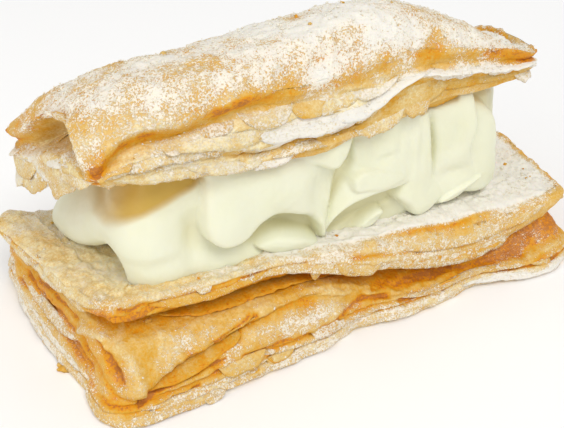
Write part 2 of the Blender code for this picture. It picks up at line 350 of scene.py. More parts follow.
# The high bake given to the crack, the lens crease, the fold groove, the crevice and the lip's underside is partly
# the pastry's deeper colour and partly painted shade in these recesses.
BASE_LINES = [
    line("sole",
        [(0, 2.6, 0), (30, 2.6, 0), (49, 0.2, 0), (60, 1.4, 0), (78, 0.4, 0), (96, 3.2, 0)],
        [(-42, -1.0, 0), (-20, -0.5, 0)],
        (-5.5, 0), (0.5, 0), (0.55, 0.2)),
    line("foot",
        [(0, 5.2, 0), (4, 6.0, 0), (12, 6.0, 0), (24, 5.2, 0), (34, 4.4, 0), (42, 4.2, 0), (46, 3.2, 0.1),
         (49, 2.2, 0.2), (54, 2.8, 0.1), (60, 3.4, 0), (68, 3.6, 0), (73, 3.6, 0.2), (78, 2.6, 0.4),
         (84, 3.4, 0.3), (90, 5.0, 0), (98, 5.6, 0), (103, 4.0, 0)],
        [(-44, 1.4, 2.2), (-36, 1.7, 0.8), (-26, 2.3, 0.2), (-15, 2.4, 0), (-7, 2.2, 0), (-2.5, 3.6, 0)],
        (-3.0, 0), (3.0, 0), (0.5, 0.3), 0.5),
    line("hem",
        [(0, 5.5, 1.3), (4, 6.3, 1.2), (12, 6.3, 1.2), (24, 5.6, 1.3), (34, 4.8, 1.3), (42, 4.6, 1.3),
         (46, 3.6, 1.4), (49, 2.7, 1.6), (54, 3.2, 1.5), (60, 3.8, 1.4), (68, 3.9, 1.5), (73, 4.0, 1.7),
         (78, 3.1, 2.0), (84, 3.8, 1.7), (90, 5.3, 1.3), (98, 5.9, 1.2), (103, 4.2, 1.2)],
        [(-44, 1.9, 3.6), (-36, 2.2, 2.2), (-26, 2.8, 1.6), (-15, 2.9, 1.3), (-7, 2.5, 1.4), (-2.5, 4.0, 1.3)],
        (-2.8, 1.2), (3.3, 1.2), [(0, 0.56, 0.3), (20, 0.46, 0.36), (60, 0.5, 0.36), (90, 0.3, 0.7),
        (200, 0.4, 0.4), (270, 0.4, 0.6)]),
    line("hem top",
        [(0, 5.0, 2.3), (4, 5.7, 2.2), (12, 5.7, 2.2), (24, 5.0, 2.4), (34, 4.2, 2.3), (42, 4.1, 2.3),
         (46, 3.1, 2.4), (49, 2.2, 2.6), (54, 2.7, 2.5), (60, 3.3, 2.3), (68, 3.4, 2.5), (78, 2.7, 3.0),
         (84, 3.4, 2.6), (90, 4.9, 2.2), (98, 5.5, 2.1), (103, 3.8, 2.1)],
        [(-44, 1.5, 4.8), (-36, 1.8, 3.4), (-26, 2.3, 2.8), (-15, 2.4, 2.4), (-7, 2.1, 2.4), (-2.5, 3.6, 2.3)],
        (-3.2, 2.2), (2.8, 2.2), [(0, 0.54, 0.28), (20, 0.45, 0.36), (90, 0.35, 0.5), (200, 0.4, 0.4),
        (270, 0.4, 0.55)], 0.6),
    line("crack",
        [(0, 4.2, 2.6), (4, 4.8, 2.6), (12, 4.5, 2.6), (24, 3.8, 2.8), (34, 3.2, 2.7), (42, 3.1, 2.7),
         (46, 2.2, 2.8), (49, 1.4, 3.0), (54, 1.8, 2.8), (60, 2.4, 2.6), (68, 2.6, 2.8), (78, 2.2, 3.3),
         (84, 2.9, 2.9), (90, 4.3, 2.5), (98, 4.9, 2.4), (103, 3.2, 2.4)],
        [(-44, 1.0, 5.2), (-36, 1.4, 3.8), (-26, 1.8, 3.2), (-15, 1.9, 2.8), (-7, 1.6, 2.8), (-2.5, 2.8, 2.6)],
        (-3.8, 2.5), (2.2, 2.5), (0.95, 0.0), 0.3),
    line("bottom layers",
        [(0, 4.9, 3.0), (4, 5.4, 3.1), (12, 5.3, 3.2), (24, 4.9, 3.5), (34, 4.3, 3.4), (42, 4.1, 3.5),
         (46, 3.2, 3.4), (49, 2.2, 3.4), (54, 2.2, 3.2), (60, 2.8, 3.0), (68, 2.8, 3.2), (78, 2.4, 3.8),
         (84, 3.1, 3.4), (90, 4.5, 3.0), (98, 5.0, 2.9), (103, 3.4, 2.9)],
        [(-44, 1.3, 6.0), (-36, 1.7, 4.6), (-26, 2.0, 4.2), (-15, 2.0, 3.8), (-7, 1.9, 3.6), (-2.5, 3.4, 3.1)],
        (-3.6, 3.0), (2.4, 3.0), [(0, 0.6, 0.3), (40, 0.55, 0.4), (200, 0.45, 0.4), (270, 0.5, 0.5)], 0.5),
    line("lens crease",
        [(0, 4.0, 3.5), (7, 4.4, 4.0), (14, 4.2, 4.4), (21, 3.9, 5.0), (27, 3.6, 5.1), (34, 3.5, 4.5),
         (40, 3.3, 4.8), (46, 2.4, 4.8), (49, 1.4, 4.2), (54, 1.2, 3.9), (60, 1.8, 3.4), (78, 1.9, 4.1),
         (90, 4.0, 3.4), (103, 3.0, 3.4)],
        [(-44, 1.0, 7.0), (-36, 1.3, 5.6), (-26, 1.5, 5.2), (-15, 1.4, 4.8), (-7, 1.4, 4.4), (-2.5, 2.4, 3.6)],
        (-3.8, 3.6), (2.0, 3.6), [(0, 0.8, 0.1), (30, 0.85, 0.0), (48, 0.8, 0.0), (70, 0.65, 0.2),
        (200, 0.5, 0.3), (270, 0.6, 0.4)], 0.4),
    line("lens edge",
        [(1, 3.9, 3.9), (4, 4.8, 4.2), (7, 4.9, 4.6), (14, 4.9, 5.1), (21, 4.7, 5.8), (27, 4.6, 6.0),
         (34, 4.4, 5.4), (40, 4.2, 5.7), (46, 3.4, 5.6), (49, 2.0, 4.8), (54, 1.4, 4.3), (60, 1.8, 3.8),
         (70, 2.0, 3.5), (78, 1.6, 4.2), (90, 3.4, 3.6), (103, 2.4, 3.8)],
        [(-44, 0.9, 8.0), (-36, 1.2, 6.8), (-26, 1.2, 6.4), (-15, 1.2, 6.0), (-7, 1.4, 5.4), (-2, 2.4, 4.2)],
        (-3.9, 4.4), (1.8, 4.4), [(0, 0.62, 0.2), (30, 0.6, 0.2), (48, 0.6, 0.1), (70, 0.5, 0.3),
        (90, 0.5, 0.2), (200, 0.45, 0.3), (270, 0.62, 0.38)], 0.7),
    line("lens belly",
        [(1, 3.4, 4.4), (4, 4.5, 4.6), (7, 4.8, 5.4), (14, 4.4, 6.2), (20, 3.6, 7.5), (27, 3.6, 8.7),
         (34, 3.4, 8.8), (40, 3.0, 8.4), (46, 2.2, 7.4), (50, 1.2, 5.8), (60, 1.1, 4.1), (70, 1.1, 3.7),
         (78, 0.8, 4.4), (90, 2.0, 4.0), (103, 1.2, 4.4)],
        [(-44, 0.6, 9.4), (-36, 0.8, 8.4), (-26, 0.7, 8.2), (-15, 0.4, 8.0), (-7, 0.6, 7.2), (-2, 1.6, 5.8)],
        (-4.0, 5.4), (1.4, 5.4), [(0, 0.64, 0.2), (20, 0.6, 0.28), (32, 0.55, 0.4), (42, 0.46, 0.5),
        (50, 0.6, 0.22), (70, 0.6, 0.05), (90, 0.75, 0.15), (200, 0.45, 0.3), (262, 0.7, 0.25),
        (275, 0.75, 0.3), (290, 0.75, 0.15)]),
    line("fold groove",
        [(1, 2.9, 5.2), (4, 4.0, 4.9), (7, 3.3, 6.7), (12, 2.2, 7.6), (19, 1.3, 8.7), (25, 0.8, 9.7),
         (31, 0.4, 10.8), (38, 0.4, 10.9), (46, 0.2, 8.7), (52, 0.3, 6.2), (60, 0.8, 4.3), (70, 0.6, 4.0),
         (78, 0.2, 4.6), (90, 1.0, 4.6), (103, 0.4, 5.2)],
        [(-44, 0.3, 10.4), (-36, 0.4, 9.6), (-26, 0.2, 9.6), (-15, -0.2, 9.6), (-8, -0.8, 9.4), (-2, 1.0, 8.0)],
        (-4.0, 6.2), (1.2, 6.2), [(0, 0.92, 0.0), (16, 0.94, 0.0), (30, 0.84, 0.0), (50, 0.6, 0.0),
        (70, 0.6, 0.0), (90, 1.0, 0.2), (200, 0.6, 0.3), (262, 0.78, 0.12), (288, 0.9, 0.0)], 0.5),
    line("fold crest",
        [(1, 3.0, 6.1), (4, 5.0, 5.5), (7, 4.5, 7.7), (12, 3.6, 8.9), (19, 2.7, 10.0), (25, 1.9, 10.9),
         (31, 1.2, 11.9), (38, 0.6, 11.8), (46, 0.3, 9.5), (52, 0.3, 7.0), (60, 0.4, 4.6), (70, 0.2, 4.3),
         (78, -0.2, 4.9), (90, 0.4, 5.2), (103, -0.2, 6.0)],
        [(-44, 0.0, 11.2), (-36, 0.2, 10.6), (-26, -0.2, 10.8), (-15, -0.4, 11.4), (-8, 0.4, 11.2),
         (-2, 0.8, 9.4)],
        (-4.2, 6.8), (1.0, 7.0), [(0, 0.72, 0.15), (25, 0.6, 0.2), (50, 0.52, 0.0), (70, 0.64, 0.0),
        (90, 1.04, 0.15), (200, 0.5, 0.3), (262, 0.66, 0.15), (288, 0.68, 0.1)], 0.7),
    line("skirt slope",
        [(1.4, 1.4, 11.0), (4, 3.4, 10.2), (7, 2.6, 10.9), (12, 1.8, 11.3), (19, 1.3, 11.5), (25, 0.9, 11.9),
         (31, 0.5, 12.3), (38, 0.0, 12.0), (46, -0.4, 10.0), (52, -0.6, 7.6), (60, -0.6, 5.2), (70, -1.2, 4.8),
         (78, -1.6, 5.4), (90, -0.6, 6.0), (103, -1.0, 7.0)],
        [(-44, -0.4, 11.8), (-36, -0.3, 11.4), (-26, -0.7, 11.8), (-15, -0.8, 12.6), (-8, -0.2, 13.2),
         (-2, 0.4, 12.2)],
        (-4.6, 7.4), (0.4, 7.8), [(0, 0.68, 0.15), (6, 0.55, 0.24), (14, 0.47, 0.3), (25, 0.5, 0.2),
        (45, 0.5, 0.1), (60, 0.68, 0.0), (85, 1.12, 0.2), (200, 0.6, 0.2), (270, 0.62, 0.12)]),
    line("skirt top",
        [(0, 0.6, 13.3), (4, 0.5, 13.9), (11, 0.0, 13.4), (18, -0.1, 12.4), (24, -0.2, 12.5), (32, -0.3, 12.6),
         (38, -0.7, 12.4), (47, -1.2, 10.2), (57, -1.6, 6.2), (67, -2.4, 5.3), (77, -2.8, 5.8), (88, -1.8, 7.0),
         (100, -2.2, 8.2)],
        [(-44, -0.8, 12.2), (-36, -0.8, 12.0), (-26, -1.1, 12.6), (-15, -1.4, 13.8), (-6, -1.0, 15.0),
         (-2, 0.0, 14.2)],
        (-5.0, 8.0), (-0.4, 8.6), [(0, 0.52, 0.1), (20, 0.54, 0.1), (45, 0.6, 0.05), (58, 0.67, 0.0),
        (74, 0.68, 0.0), (85, 0.98, 0.08), (200, 0.55, 0.0), (270, 0.76, 0.0)]),
    line("crevice",
        [(0, -4.2, 15.6), (6, -4.8, 15.0), (14, -5.2, 14.2), (24, -5.4, 13.6), (34, -5.6, 13.2),
         (42, -5.8, 12.0), (48, -6.6, 9.6), (56, -7.4, 7.2), (66, -7.8, 6.4), (76, -7.4, 6.2), (88, -6.0, 8.4),
         (100, -5.0, 10.2)],
        [(-44, -2.6, 12.6), (-36, -3.0, 12.8), (-26, -3.4, 13.6), (-15, -3.6, 14.8), (-5, -3.8, 15.8)],
        (-6.5, 9.6), (-4.5, 10.4), [(0, 0.82, 0.0), (20, 0.8, 0.0), (45, 0.75, 0.0), (80, 0.74, 0.0),
        (95, 0.9, 0.0), (200, 0.85, 0.0), (270, 0.9, 0.0)]),
    line("lip underside",
        [(0, -2.8, 17.6), (9, -3.0, 16.9), (20, -2.6, 16.6), (34, -2.6, 16.8), (42, -2.6, 14.8),
         (50, -2.8, 12.0), (60, -2.8, 9.6), (70, -2.4, 8.0), (80, -2.0, 7.6), (88, -1.6, 9.4), (97, -1.6, 10.6),
         (102, -1.8, 12.2)],
        [(-44, -0.4, 13.8), (-36, -0.8, 14.0), (-26, -1.2, 14.8), (-15, -1.6, 16.0), (-5, -2.2, 17.4)],
        (-1.6, 10.8), (-1.2, 12.2), [(0, 0.84, 0.0), (20, 0.8, 0.0), (60, 0.78, 0.0), (200, 0.75, 0.0),
        (270, 0.75, 0.0)], 0.5),
    line("lip",
        [(0, -1.2, 18.4), (3, -1.5, 18.5), (9, -1.8, 17.8), (14, -1.6, 17.6), (20, -1.4, 17.6),
         (26, -1.4, 17.8), (34, -1.5, 17.9), (40, -1.0, 16.5), (45, -0.5, 14.6), (51, 0.0, 13.2),
         (57, 0.2, 11.5), (63, 0.5, 9.9), (68, 0.9, 9.0), (74, 1.2, 7.8), (80, 1.3, 7.7), (85, 1.4, 8.2),
         (88, 1.0, 10.0), (97, 0.2, 11.1), (102, -0.6, 12.8)],
        [(-44, 1.6, 14.6), (-36, 1.2, 14.8), (-28, 0.6, 15.6), (-16, 0.1, 16.9), (-6, -0.8, 18.2),
         (-2, -1.4, 18.8)],
        (0.0, 11.8), (0.3, 13.2), [(0, 0.95, 0.05), (6, 0.86, 0.05), (14, 0.76, 0.03), (30, 0.72, 0.03),
        (55, 0.62, 0.25), (80, 0.6, 0.25), (100, 0.7, 0.1), (200, 0.5, 0.2), (255, 0.35, 0.35),
        (280, 0.35, 0.3)], 0.8),
    line("slab face",
        [(0, -1.4, 19.8), (9, -2.1, 19.3), (18, -1.7, 18.9), (26, -1.3, 18.8), (34, -1.8, 18.8),
         (44, -0.8, 17.0), (51, 0.2, 15.4), (57, 0.4, 14.2), (65, 0.6, 13.0), (75, 1.0, 11.8), (86, 1.2, 12.2),
         (94, 0.9, 13.2), (100, -0.4, 14.2)],
        [(-44, 2.0, 16.2), (-36, 1.5, 16.4), (-26, 0.6, 17.2), (-16, 0.2, 18.0), (-6, -1.0, 19.4),
         (-2, -1.7, 19.9)],
        (0.2, 13.2), (0.2, 14.8), [(0, 0.7, 0.35), (6, 0.6, 0.3), (14, 0.5, 0.25), (30, 0.42, 0.35),
        (55, 0.45, 0.42), (80, 0.45, 0.4), (100, 0.6, 0.1), (200, 0.45, 0.2), (255, 0.35, 0.35),
        (280, 0.3, 0.3)], 0.8),
    line("slab rim",
        [(0, -2.2, 21.1), (3, -2.4, 21.3), (9, -2.8, 20.8), (18, -2.0, 20.2), (26, -1.7, 19.8),
         (34, -2.3, 19.7), (44, -1.8, 18.6), (56, -0.8, 16.8), (65, -0.6, 15.6), (75, -0.2, 14.6),
         (86, 0.0, 14.5), (94, -0.2, 14.6), (100, -1.8, 15.4)],
        [(-44, 1.6, 17.4), (-36, 1.0, 17.6), (-26, 0.2, 18.3), (-16, -0.3, 19.2), (-6, -1.4, 20.6),
         (-2, -2.2, 21.2)],
        (-0.4, 14.8), (-0.6, 16.4), [(0, 0.45, 0.45), (6, 0.3, 0.42), (14, 0.25, 0.35), (30, 0.26, 0.45),
        (45, 0.4, 0.45), (60, 0.42, 0.4), (76, 0.5, 0.3), (104, 0.62, 0.3), (200, 0.3, 0.4), (255, 0.3, 0.35),
        (280, 0.25, 0.3)]),
    line("top edge",
        [(0, -4.2, 20.9), (9, -4.4, 20.7), (20, -3.8, 20.0), (34, -3.9, 19.5), (46, -3.4, 18.5),
         (56, -2.6, 17.4), (61, -2.4, 17.0), (66, -2.0, 16.6), (71, -1.7, 15.9), (76, -1.4, 15.4),
         (80, -1.6, 15.7), (88, -1.4, 15.1), (96, -1.6, 15.2)],
        [(-44, -1.0, 18.0), (-36, -1.6, 18.2), (-26, -2.2, 18.8), (-16, -2.6, 19.6), (-6, -3.6, 20.8)],
        (-2.4, 15.2), (-2.6, 16.8), [(0, 0.25, 0.28), (14, 0.22, 0.3), (30, 0.22, 0.5), (44, 0.3, 0.6),
        (54, 0.4, 0.5), (59, 0.6, 0.3), (66, 0.8, 0.1), (78, 0.8, 0.1), (84, 0.55, 0.4), (90, 0.4, 0.5),
        (97, 0.4, 0.5), (104, 0.4, 0.6), (200, 0.3, 0.5), (255, 0.28, 0.3), (280, 0.25, 0.25)], 0.5),
    line("inner edge",
        [(0, -4.9, 21.0), (9, -5.1, 20.8), (20, -4.5, 20.1), (34, -4.6, 19.6), (46, -4.1, 18.7),
         (56, -3.3, 18.0), (61, -3.1, 17.9), (66, -2.7, 17.5), (71, -2.4, 16.8), (76, -2.1, 16.2),
         (80, -2.3, 16.3), (88, -2.1, 15.7), (96, -2.3, 15.6)],
        [(-44, -1.8, 18.1), (-36, -2.4, 18.3), (-26, -3.0, 18.9), (-16, -3.4, 19.7), (-6, -4.4, 20.9)],
        (-3.2, 15.3), (-3.2, 16.9), [(0, 0.24, 0.25), (14, 0.22, 0.3), (30, 0.22, 0.5), (40, 0.22, 0.75),
        (50, 0.2, 0.95), (104, 0.2, 0.95), (200, 0.3, 0.5), (255, 0.28, 0.25), (280, 0.25, 0.2)], 0.6),
    line("slab top",
        [(0, -7.5, 20.4), (9, -7.5, 20.3), (20, -7.0, 19.7), (34, -7.0, 19.1), (50, -6.4, 18.2),
         (65, -5.6, 17.4), (80, -5.6, 16.5), (96, -5.6, 15.9)],
        [(-44, -4.6, 18.1), (-30, -5.5, 18.6), (-16, -6.0, 19.4), (-5, -7.0, 20.5)],
        (-6.5, 15.2), (-6.0, 16.9), [(0, 0.12, 0.34), (14, 0.12, 0.36), (30, 0.18, 0.55), (45, 0.2, 0.95),
        (60, 0.15, 1.0), (104, 0.2, 1.0), (200, 0.2, 0.6), (250, 0.15, 0.4), (270, 0.12, 0.36),
        (285, 0.12, 0.34)]),
]


def plain_height(_x, _y, up):
    """Return a height measured from the floor."""
    return up


def seat_height(_x, y, up):
    """Return a height measured from the lid's leaning underside."""
    return lid_seat(y) + up


def laminate(points, depth, seed):
    """Return fine ridges that run along the layers of baked pastry."""
    warped = points.copy()
    warped[:, 2] += 1.0 * grain(points, (11, 11, 5), seed) + 0.3 * grain(points, 3.0, seed + 3)
    broad = grain(warped, (9.0, 9.0, 1.5), seed + 1)
    fine = grain(warped, (4.5, 4.5, 0.75), seed + 2)
    ridges = (1.0 - np.abs(broad) * 2.0) * 0.6 + (1.0 - np.abs(fine) * 2.0) * 0.4
    torn = grain(points, 1.3, seed + 4)
    return depth * (ridges + 0.25 * torn)


def bubbles(points, depth, seed):
    """Return the soft blisters and wrinkles of a baked crust."""
    broad = grain(points, 5.5, seed)
    small = 1.0 - np.abs(grain(points, 2.4, seed + 1)) * 2.0
    fine = 1.0 - np.abs(grain(points, 1.2, seed + 2)) * 2.0
    return depth * (0.8 * broad + 0.5 * small + 0.35 * fine)


def crumble(points, depth, seed):
    """Return the rough open crumb of torn pastry."""
    pits = np.minimum(grain(points, 1.6, seed), 0.1)
    return depth * (pits + 0.45 * grain(points, 0.8, seed + 1) + 0.7 * grain(points, 4.0, seed + 2))


# Creases and ridges pressed into the base: width, depth (below zero stands out), added baking tone,
# then places (along, up). The added tone is partly deeper browning and partly painted shade in the creases,
# with a painted lighter tone on the ridges that stand out.
BASE_MARKS = [
    (0.35, 0.9, 0.3, [(4.0, 3.9), (7, 5.2), (11, 6.0), (15, 6.4), (20, 6.8)]),
    (0.38, 1.1, 0.4, [(4.2, 4.6), (8.5, 6.4), (13, 7.3), (18.5, 8.5), (24, 9.6), (28, 11.6)]),
    (0.3, 0.5, 0.25, [(5.2, 6.0), (10, 7.9), (16, 9.3), (22, 10.4), (27, 12.0)]),
    (0.28, 0.8, 0.5, [(9.5, 3.2), (12, 3.0), (14.5, 3.4)]),
    (0.28, 0.8, 0.5, [(17, 1.2), (20, 1.6), (23, 2.3), (26.4, 2.4)]),
    (0.28, 0.7, 0.5, [(29, 3.5), (31.5, 2.9), (34.4, 2.6)]),
    (0.25, 0.7, 0.5, [(41.6, 3.6), (45.2, 4.1)]),
    (0.3, 0.8, 0.4, [(5.4, 2.4), (9, 2.9)]),
    (0.4, 0.5, 0.25, [(24, 6.2), (32, 5.9), (39, 5.3), (45, 5.9), (52, 6.0), (58, 4.6)]),
    (0.4, 0.6, 0.06, [(55, 6.6), (61, 5.4), (67, 4.9), (73, 4.4), (80, 4.6), (92, 4.2)]),
    (0.4, 0.5, 0.2, [(60, 3.4), (68, 3.0), (74, 3.4), (80, 3.6), (90, 2.8), (100, 2.6)]),
    (0.6, 0.9, 0.22, [(-38, 5.8), (-30, 7.0), (-23, 6.5), (-14, 6.0), (-8, 5.2)]),
    (0.5, 0.7, 0.22, [(-34, 9.3), (-26, 8.8), (-19, 6.9), (-11, 7.0), (-5, 6.4)]),
    (0.4, 0.6, 0.2, [(-28, 7.6), (-20, 8.9), (-13, 8.6)]),
    (0.4, 0.5, 0.2, [(-30, 10.8), (-20, 11.6), (-12, 12.6)]),
    (0.6, -0.7, -0.1, [(-13, 8.6), (-9, 12.4), (-6, 14.0), (-2.6, 14.6)]),
    (0.55, 1.3, 0.35, [(-3.6, 13.6), (-1.2, 12.0), (0.8, 10.2), (2.0, 8.2)]),
    (0.9, 0.9, 0.2, [(0.2, 11.6), (1.6, 9.4)]),
    (0.6, -0.7, -0.1, [(1.2, 14.6), (3.8, 12.5), (4.6, 9.0), (4.4, 6.0)]),
    (0.35, 0.5, 0.3, [(3, 20.3), (14, 18.9), (26, 19.2), (40, 18.0)]),
    (0.3, 0.4, 0.3, [(8, 18.7), (20, 18.4), (34, 18.6), (46, 15.8), (56, 12.8)]),
    (0.45, 0.5, 0.2, [(50, 16.2), (62, 13.8), (75, 11.4), (90, 12.4)]),
    (0.45, 0.5, 0.15, [(54, 12.6), (64, 11.0), (75, 9.4), (86, 9.8)]),
    (0.4, 0.5, 0.2, [(-40, 16.4), (-30, 16.6), (-18, 18.2), (-6, 19.6)]),
    (1.2, 0.0, 0.3, [(0.5, 3.6), (2.5, 3.2)]),
    (1.2, 0.0, 0.25, [(-2.0, 18.6), (2.0, 18.8)]),
]


def press(d, z, marks):
    """Return the depth of creases and their added baking tone at places along and up a shell; along the base's
    creases that tone is partly painted shade.
    """
    depth, warm = np.zeros(len(d)), np.zeros(len(d))
    for width, deep, bake, path in marks:
        gap = np.full(len(d), 1e9)
        for (d0, z0), (d1, z1) in zip(path[:-1], path[1:]):
            run, climb = d1 - d0, z1 - z0
            share = np.clip(((d - d0) * run + (z - z0) * climb) / (run * run + climb * climb), 0.0, 1.0)
            gap = np.minimum(gap, np.hypot(d - d0 - share * run, z - z0 - share * climb))
        shade = np.exp(-(gap / width) ** 2)
        depth, warm = depth + deep * shade, warm + bake * shade
    return depth, warm


LEFT_SIDE_REACH = 40.0          # how much more than half the outline is counted forwards


def short_way(d, outline):
    """Return distances along an outline with the left side counted below zero."""
    return np.where(d > outline.length / 2 + LEFT_SIDE_REACH, d - outline.length, d)


# columns along the long and the short sides, and the step between rows
BASE_COLUMNS, BASE_ROW_STEP = (224, 82), 0.32
LID_COLUMNS, LID_ROW_STEP = (260, 100), 0.26


TOP_SIDE = 999.0                # a distance along that no crease reaches, for places on the top


def raise_shell(outline, guides, columns, row_step, height):
    """Return the wall rows and the filled top of a closed shell, with faces, row places and distances along."""
    d, counts = outline.stations(*columns)
    rows, places = loft(outline, guides, d, row_step, height)
    inner, faces, shares = cover(rows[-1], counts, (len(rows) - 1) * len(d))
    faces = wall_faces(len(rows), len(d)) + faces + [tuple(range(len(d)))[::-1]]
    place = np.concatenate([np.repeat(places, len(d)), np.full(len(inner), len(guides) - 1.0)])
    along = np.concatenate([np.tile(short_way(d, outline), len(rows)), np.full(len(inner), TOP_SIDE)])
    return rows, inner, faces, place, along, counts, shares


def line_order(guides):
    """Return the place of each guide line by its name."""
    return {guide["name"]: k for k, guide in enumerate(guides)}


def build_base():
    """Build the lower pastry: hem, folded skirt, amber crevice and frosted upper step."""
    rows, inner, faces, place, along, _, (u, v) = raise_shell(SLAB, BASE_LINES, BASE_COLUMNS, BASE_ROW_STEP,
                                                              plain_height)
    middle = ease(0.0, 1.0, np.minimum(np.minimum(u, 1 - u) * 8.0, np.minimum(v, 1 - v) * 3.0))
    inner[:, 2] = inner[:, 2] * (1 - middle) + (slab_top(inner[:, 0], inner[:, 1]) + 0.1) * middle
    points = np.concatenate([rows.reshape(-1, 5), inner])
    xyz = points[:, :3]
    piece = make_mesh("base_crust", xyz, faces)
    normals = read_points(piece, "normal")
    at = line_order(BASE_LINES)
    # shares of the four kinds of surface, from the foot to the top
    layered = 1.0 - ease(at["bottom layers"], at["lens edge"], place)
    face = ease(at["lip underside"], at["lip"], place) * (1.0 - ease(at["slab face"], at["slab rim"], place))
    top = ease(at["slab face"] + 0.5, at["slab rim"], place)
    skirt = ease(at["lens crease"], at["lens edge"], place) * (1.0 - ease(at["skirt top"], at["crevice"], place))
    push = laminate(xyz, depth=0.45, seed=11) * layered + laminate(xyz, depth=0.42, seed=23) * face
    push = push + bubbles(xyz, depth=0.38, seed=31) * skirt + crumble(xyz, depth=0.55, seed=47) * top
    push = push + (laminate(xyz, depth=0.16, seed=53) + crumble(xyz, depth=0.16, seed=59)) * skirt
    wobble = 0.35 * grain(xyz, 2.2, 83)
    depth, warm = press(along, xyz[:, 2] + wobble, BASE_MARKS)
    # creases stay off the sole and out of the crevice
    outer = ease(0.6, 1.2, place) * (1.0 - ease(at["skirt top"], at["skirt top"] + 0.6, place)
                                     * (1.0 - ease(at["lip underside"] + 0.3, at["lip"], place)))
    push = (push - depth * outer) * ease(0.6, 1.2, place)
    moved = xyz + normals * push[:, None]
    moved[:, 2] = np.maximum(moved[:, 2], 0.0)
    write_points(piece, moved)
    tone = points[:, 3] + 0.10 * layered_grain(xyz, 5.0, 61) + 0.08 * layered_grain(xyz, 1.6, 67)
    # painted shade: the tone deepens where the surface is pushed in and along the pressed creases, and pales where
    # it stands out
    tone = tone + 0.35 * np.clip(-push + depth, -0.5, 0.6) * (1 - top) + warm * outer
    paint(piece, "bake", tone)
    # the pressed creases also lose sugar, which adds to the painted shade there
    dust = points[:, 4] + 0.20 * layered_grain(xyz, 4.0, 71) * ease(0.0, 0.1, points[:, 4]) - 0.8 * warm * outer
    paint(piece, "sugar", dust)
    return piece


# ---- torn sheets of pastry ------------------------------------------------------------
SHEET_STEP, SHEET_ROWS = 0.38, 7


class Sheets:
    """Thin torn sheets of pastry collected into one mesh."""

    def __init__(self, outline, guides, height, seed):
        self.outline, self.height = outline, height
        self.guides = {guide["name"]: guide for guide in guides}
        self.random = np.random.default_rng(seed)
        self.points, self.faces, self.bake, self.sugar = [], [], [], []

    def at_line(self, name, d):
        """Return (out, up) of a guide line at distances along the outline."""
        return guide_values(self.guides[name], self.outline, d)[:, :2]

    def add(self, start, end, root, edge, hang, proud, bake, sugar, ragged=0.5, thick=0.28, lift=0.3):
        """Add a sheet from the root line to a torn edge that hangs past the edge line."""
        seed = int(self.random.integers(1, 9999))
        columns, rows = max(10, int((end - start) / SHEET_STEP)), SHEET_ROWS
        d = np.linspace(start, end, columns)
        share = np.linspace(-1.0, 1.0, columns)
        taper = 1.0 - np.abs(share) ** 4
        along = np.column_stack([d, np.zeros(columns), np.full(columns, start)])
        jag = 0.6 * grain(along, 3.0, seed) + 0.45 * grain(along, 1.1, seed + 1) + 0.3 * grain(along, 0.5, seed + 2)
        root_at, edge_at = self.at_line(root, d), self.at_line(edge, d)
        root_at[:, 0] -= lift
        tip = edge_at + np.column_stack([np.full(columns, proud), -hang * (1.0 + ragged * jag)])
        sheet = []
        point, normal = self.outline.at(d)
        for row in range(rows):
            v = row / (rows - 1)
            reach = v * taper
            place = root_at + (tip - root_at) * reach[:, None]
            wave = 0.25 * grain(np.column_stack([d, np.full(columns, 2.0 * v), d * 0]), 2.6, seed + 3)
            belly = 0.35 * proud * np.sin(np.pi * v)
            out = place[:, 0] + belly + wave * v
            xy = point + normal * out[:, None]
            z = self.height(xy[:, 0], xy[:, 1], place[:, 1]) + 0.15 * wave
            sheet.append(np.column_stack([xy, z]))
        sheet = np.array(sheet)
        run = np.gradient(sheet, axis=1)
        drop = np.gradient(sheet, axis=0)
        facing = np.cross(run, -drop)
        facing /= np.linalg.norm(facing, axis=-1)[..., None] + 1e-9
        thin = thick * (1.0 - 0.45 * np.linspace(0, 1, rows))[:, None, None]
        behind = sheet - facing * thin
        start_index = sum(len(block) for block in self.points)
        size = rows * columns
        index = np.arange(size).reshape(rows, columns) + start_index
        quads = np.stack([index[1:, :-1], index[1:, 1:], index[:-1, 1:], index[:-1, :-1]], axis=-1).reshape(-1, 4)
        self.faces += quads.tolist() + (quads[:, ::-1] + size).tolist()
        rim = np.concatenate([index[0, :], index[1:, -1], index[-1, :-1][::-1], index[1:-1, 0][::-1]])
        after = np.roll(rim, -1)
        self.faces += np.stack([rim, after, after + size, rim + size], axis=-1).tolist()
        self.points += [sheet.reshape(-1, 3), behind.reshape(-1, 3)]
        fade = np.repeat(np.linspace(0.0, 1.0, rows), columns)
        tone = bake + 0.12 * grain(np.tile(along, (rows, 1)), 2.0, seed + 5) + 0.16 * fade ** 3
        self.bake += [tone, tone + 0.12]
        self.sugar += [np.full(size, sugar), np.full(size, sugar * 0.3)]

    def scatter(self, count, pairs, length, hang, proud, bake, sugar):
        """Add small loose flakes at seeded places round the outline."""
        for _ in range(count):
            root, edge = pairs[int(self.random.integers(len(pairs)))]
            start = self.random.uniform(0.0, self.outline.length)
            run = self.random.uniform(*length)
            self.add(start, start + run, root, edge, self.random.uniform(*hang), self.random.uniform(*proud),
                     self.random.uniform(*bake), self.random.uniform(*sugar), ragged=0.6, thick=0.22)

    def finish(self, name):
        """Return the collected sheets as one piece."""
        piece = make_mesh(name, np.concatenate(self.points), self.faces)
        paint(piece, "bake", np.concatenate(self.bake))
        paint(piece, "sugar", np.concatenate(self.sugar))
        return piece
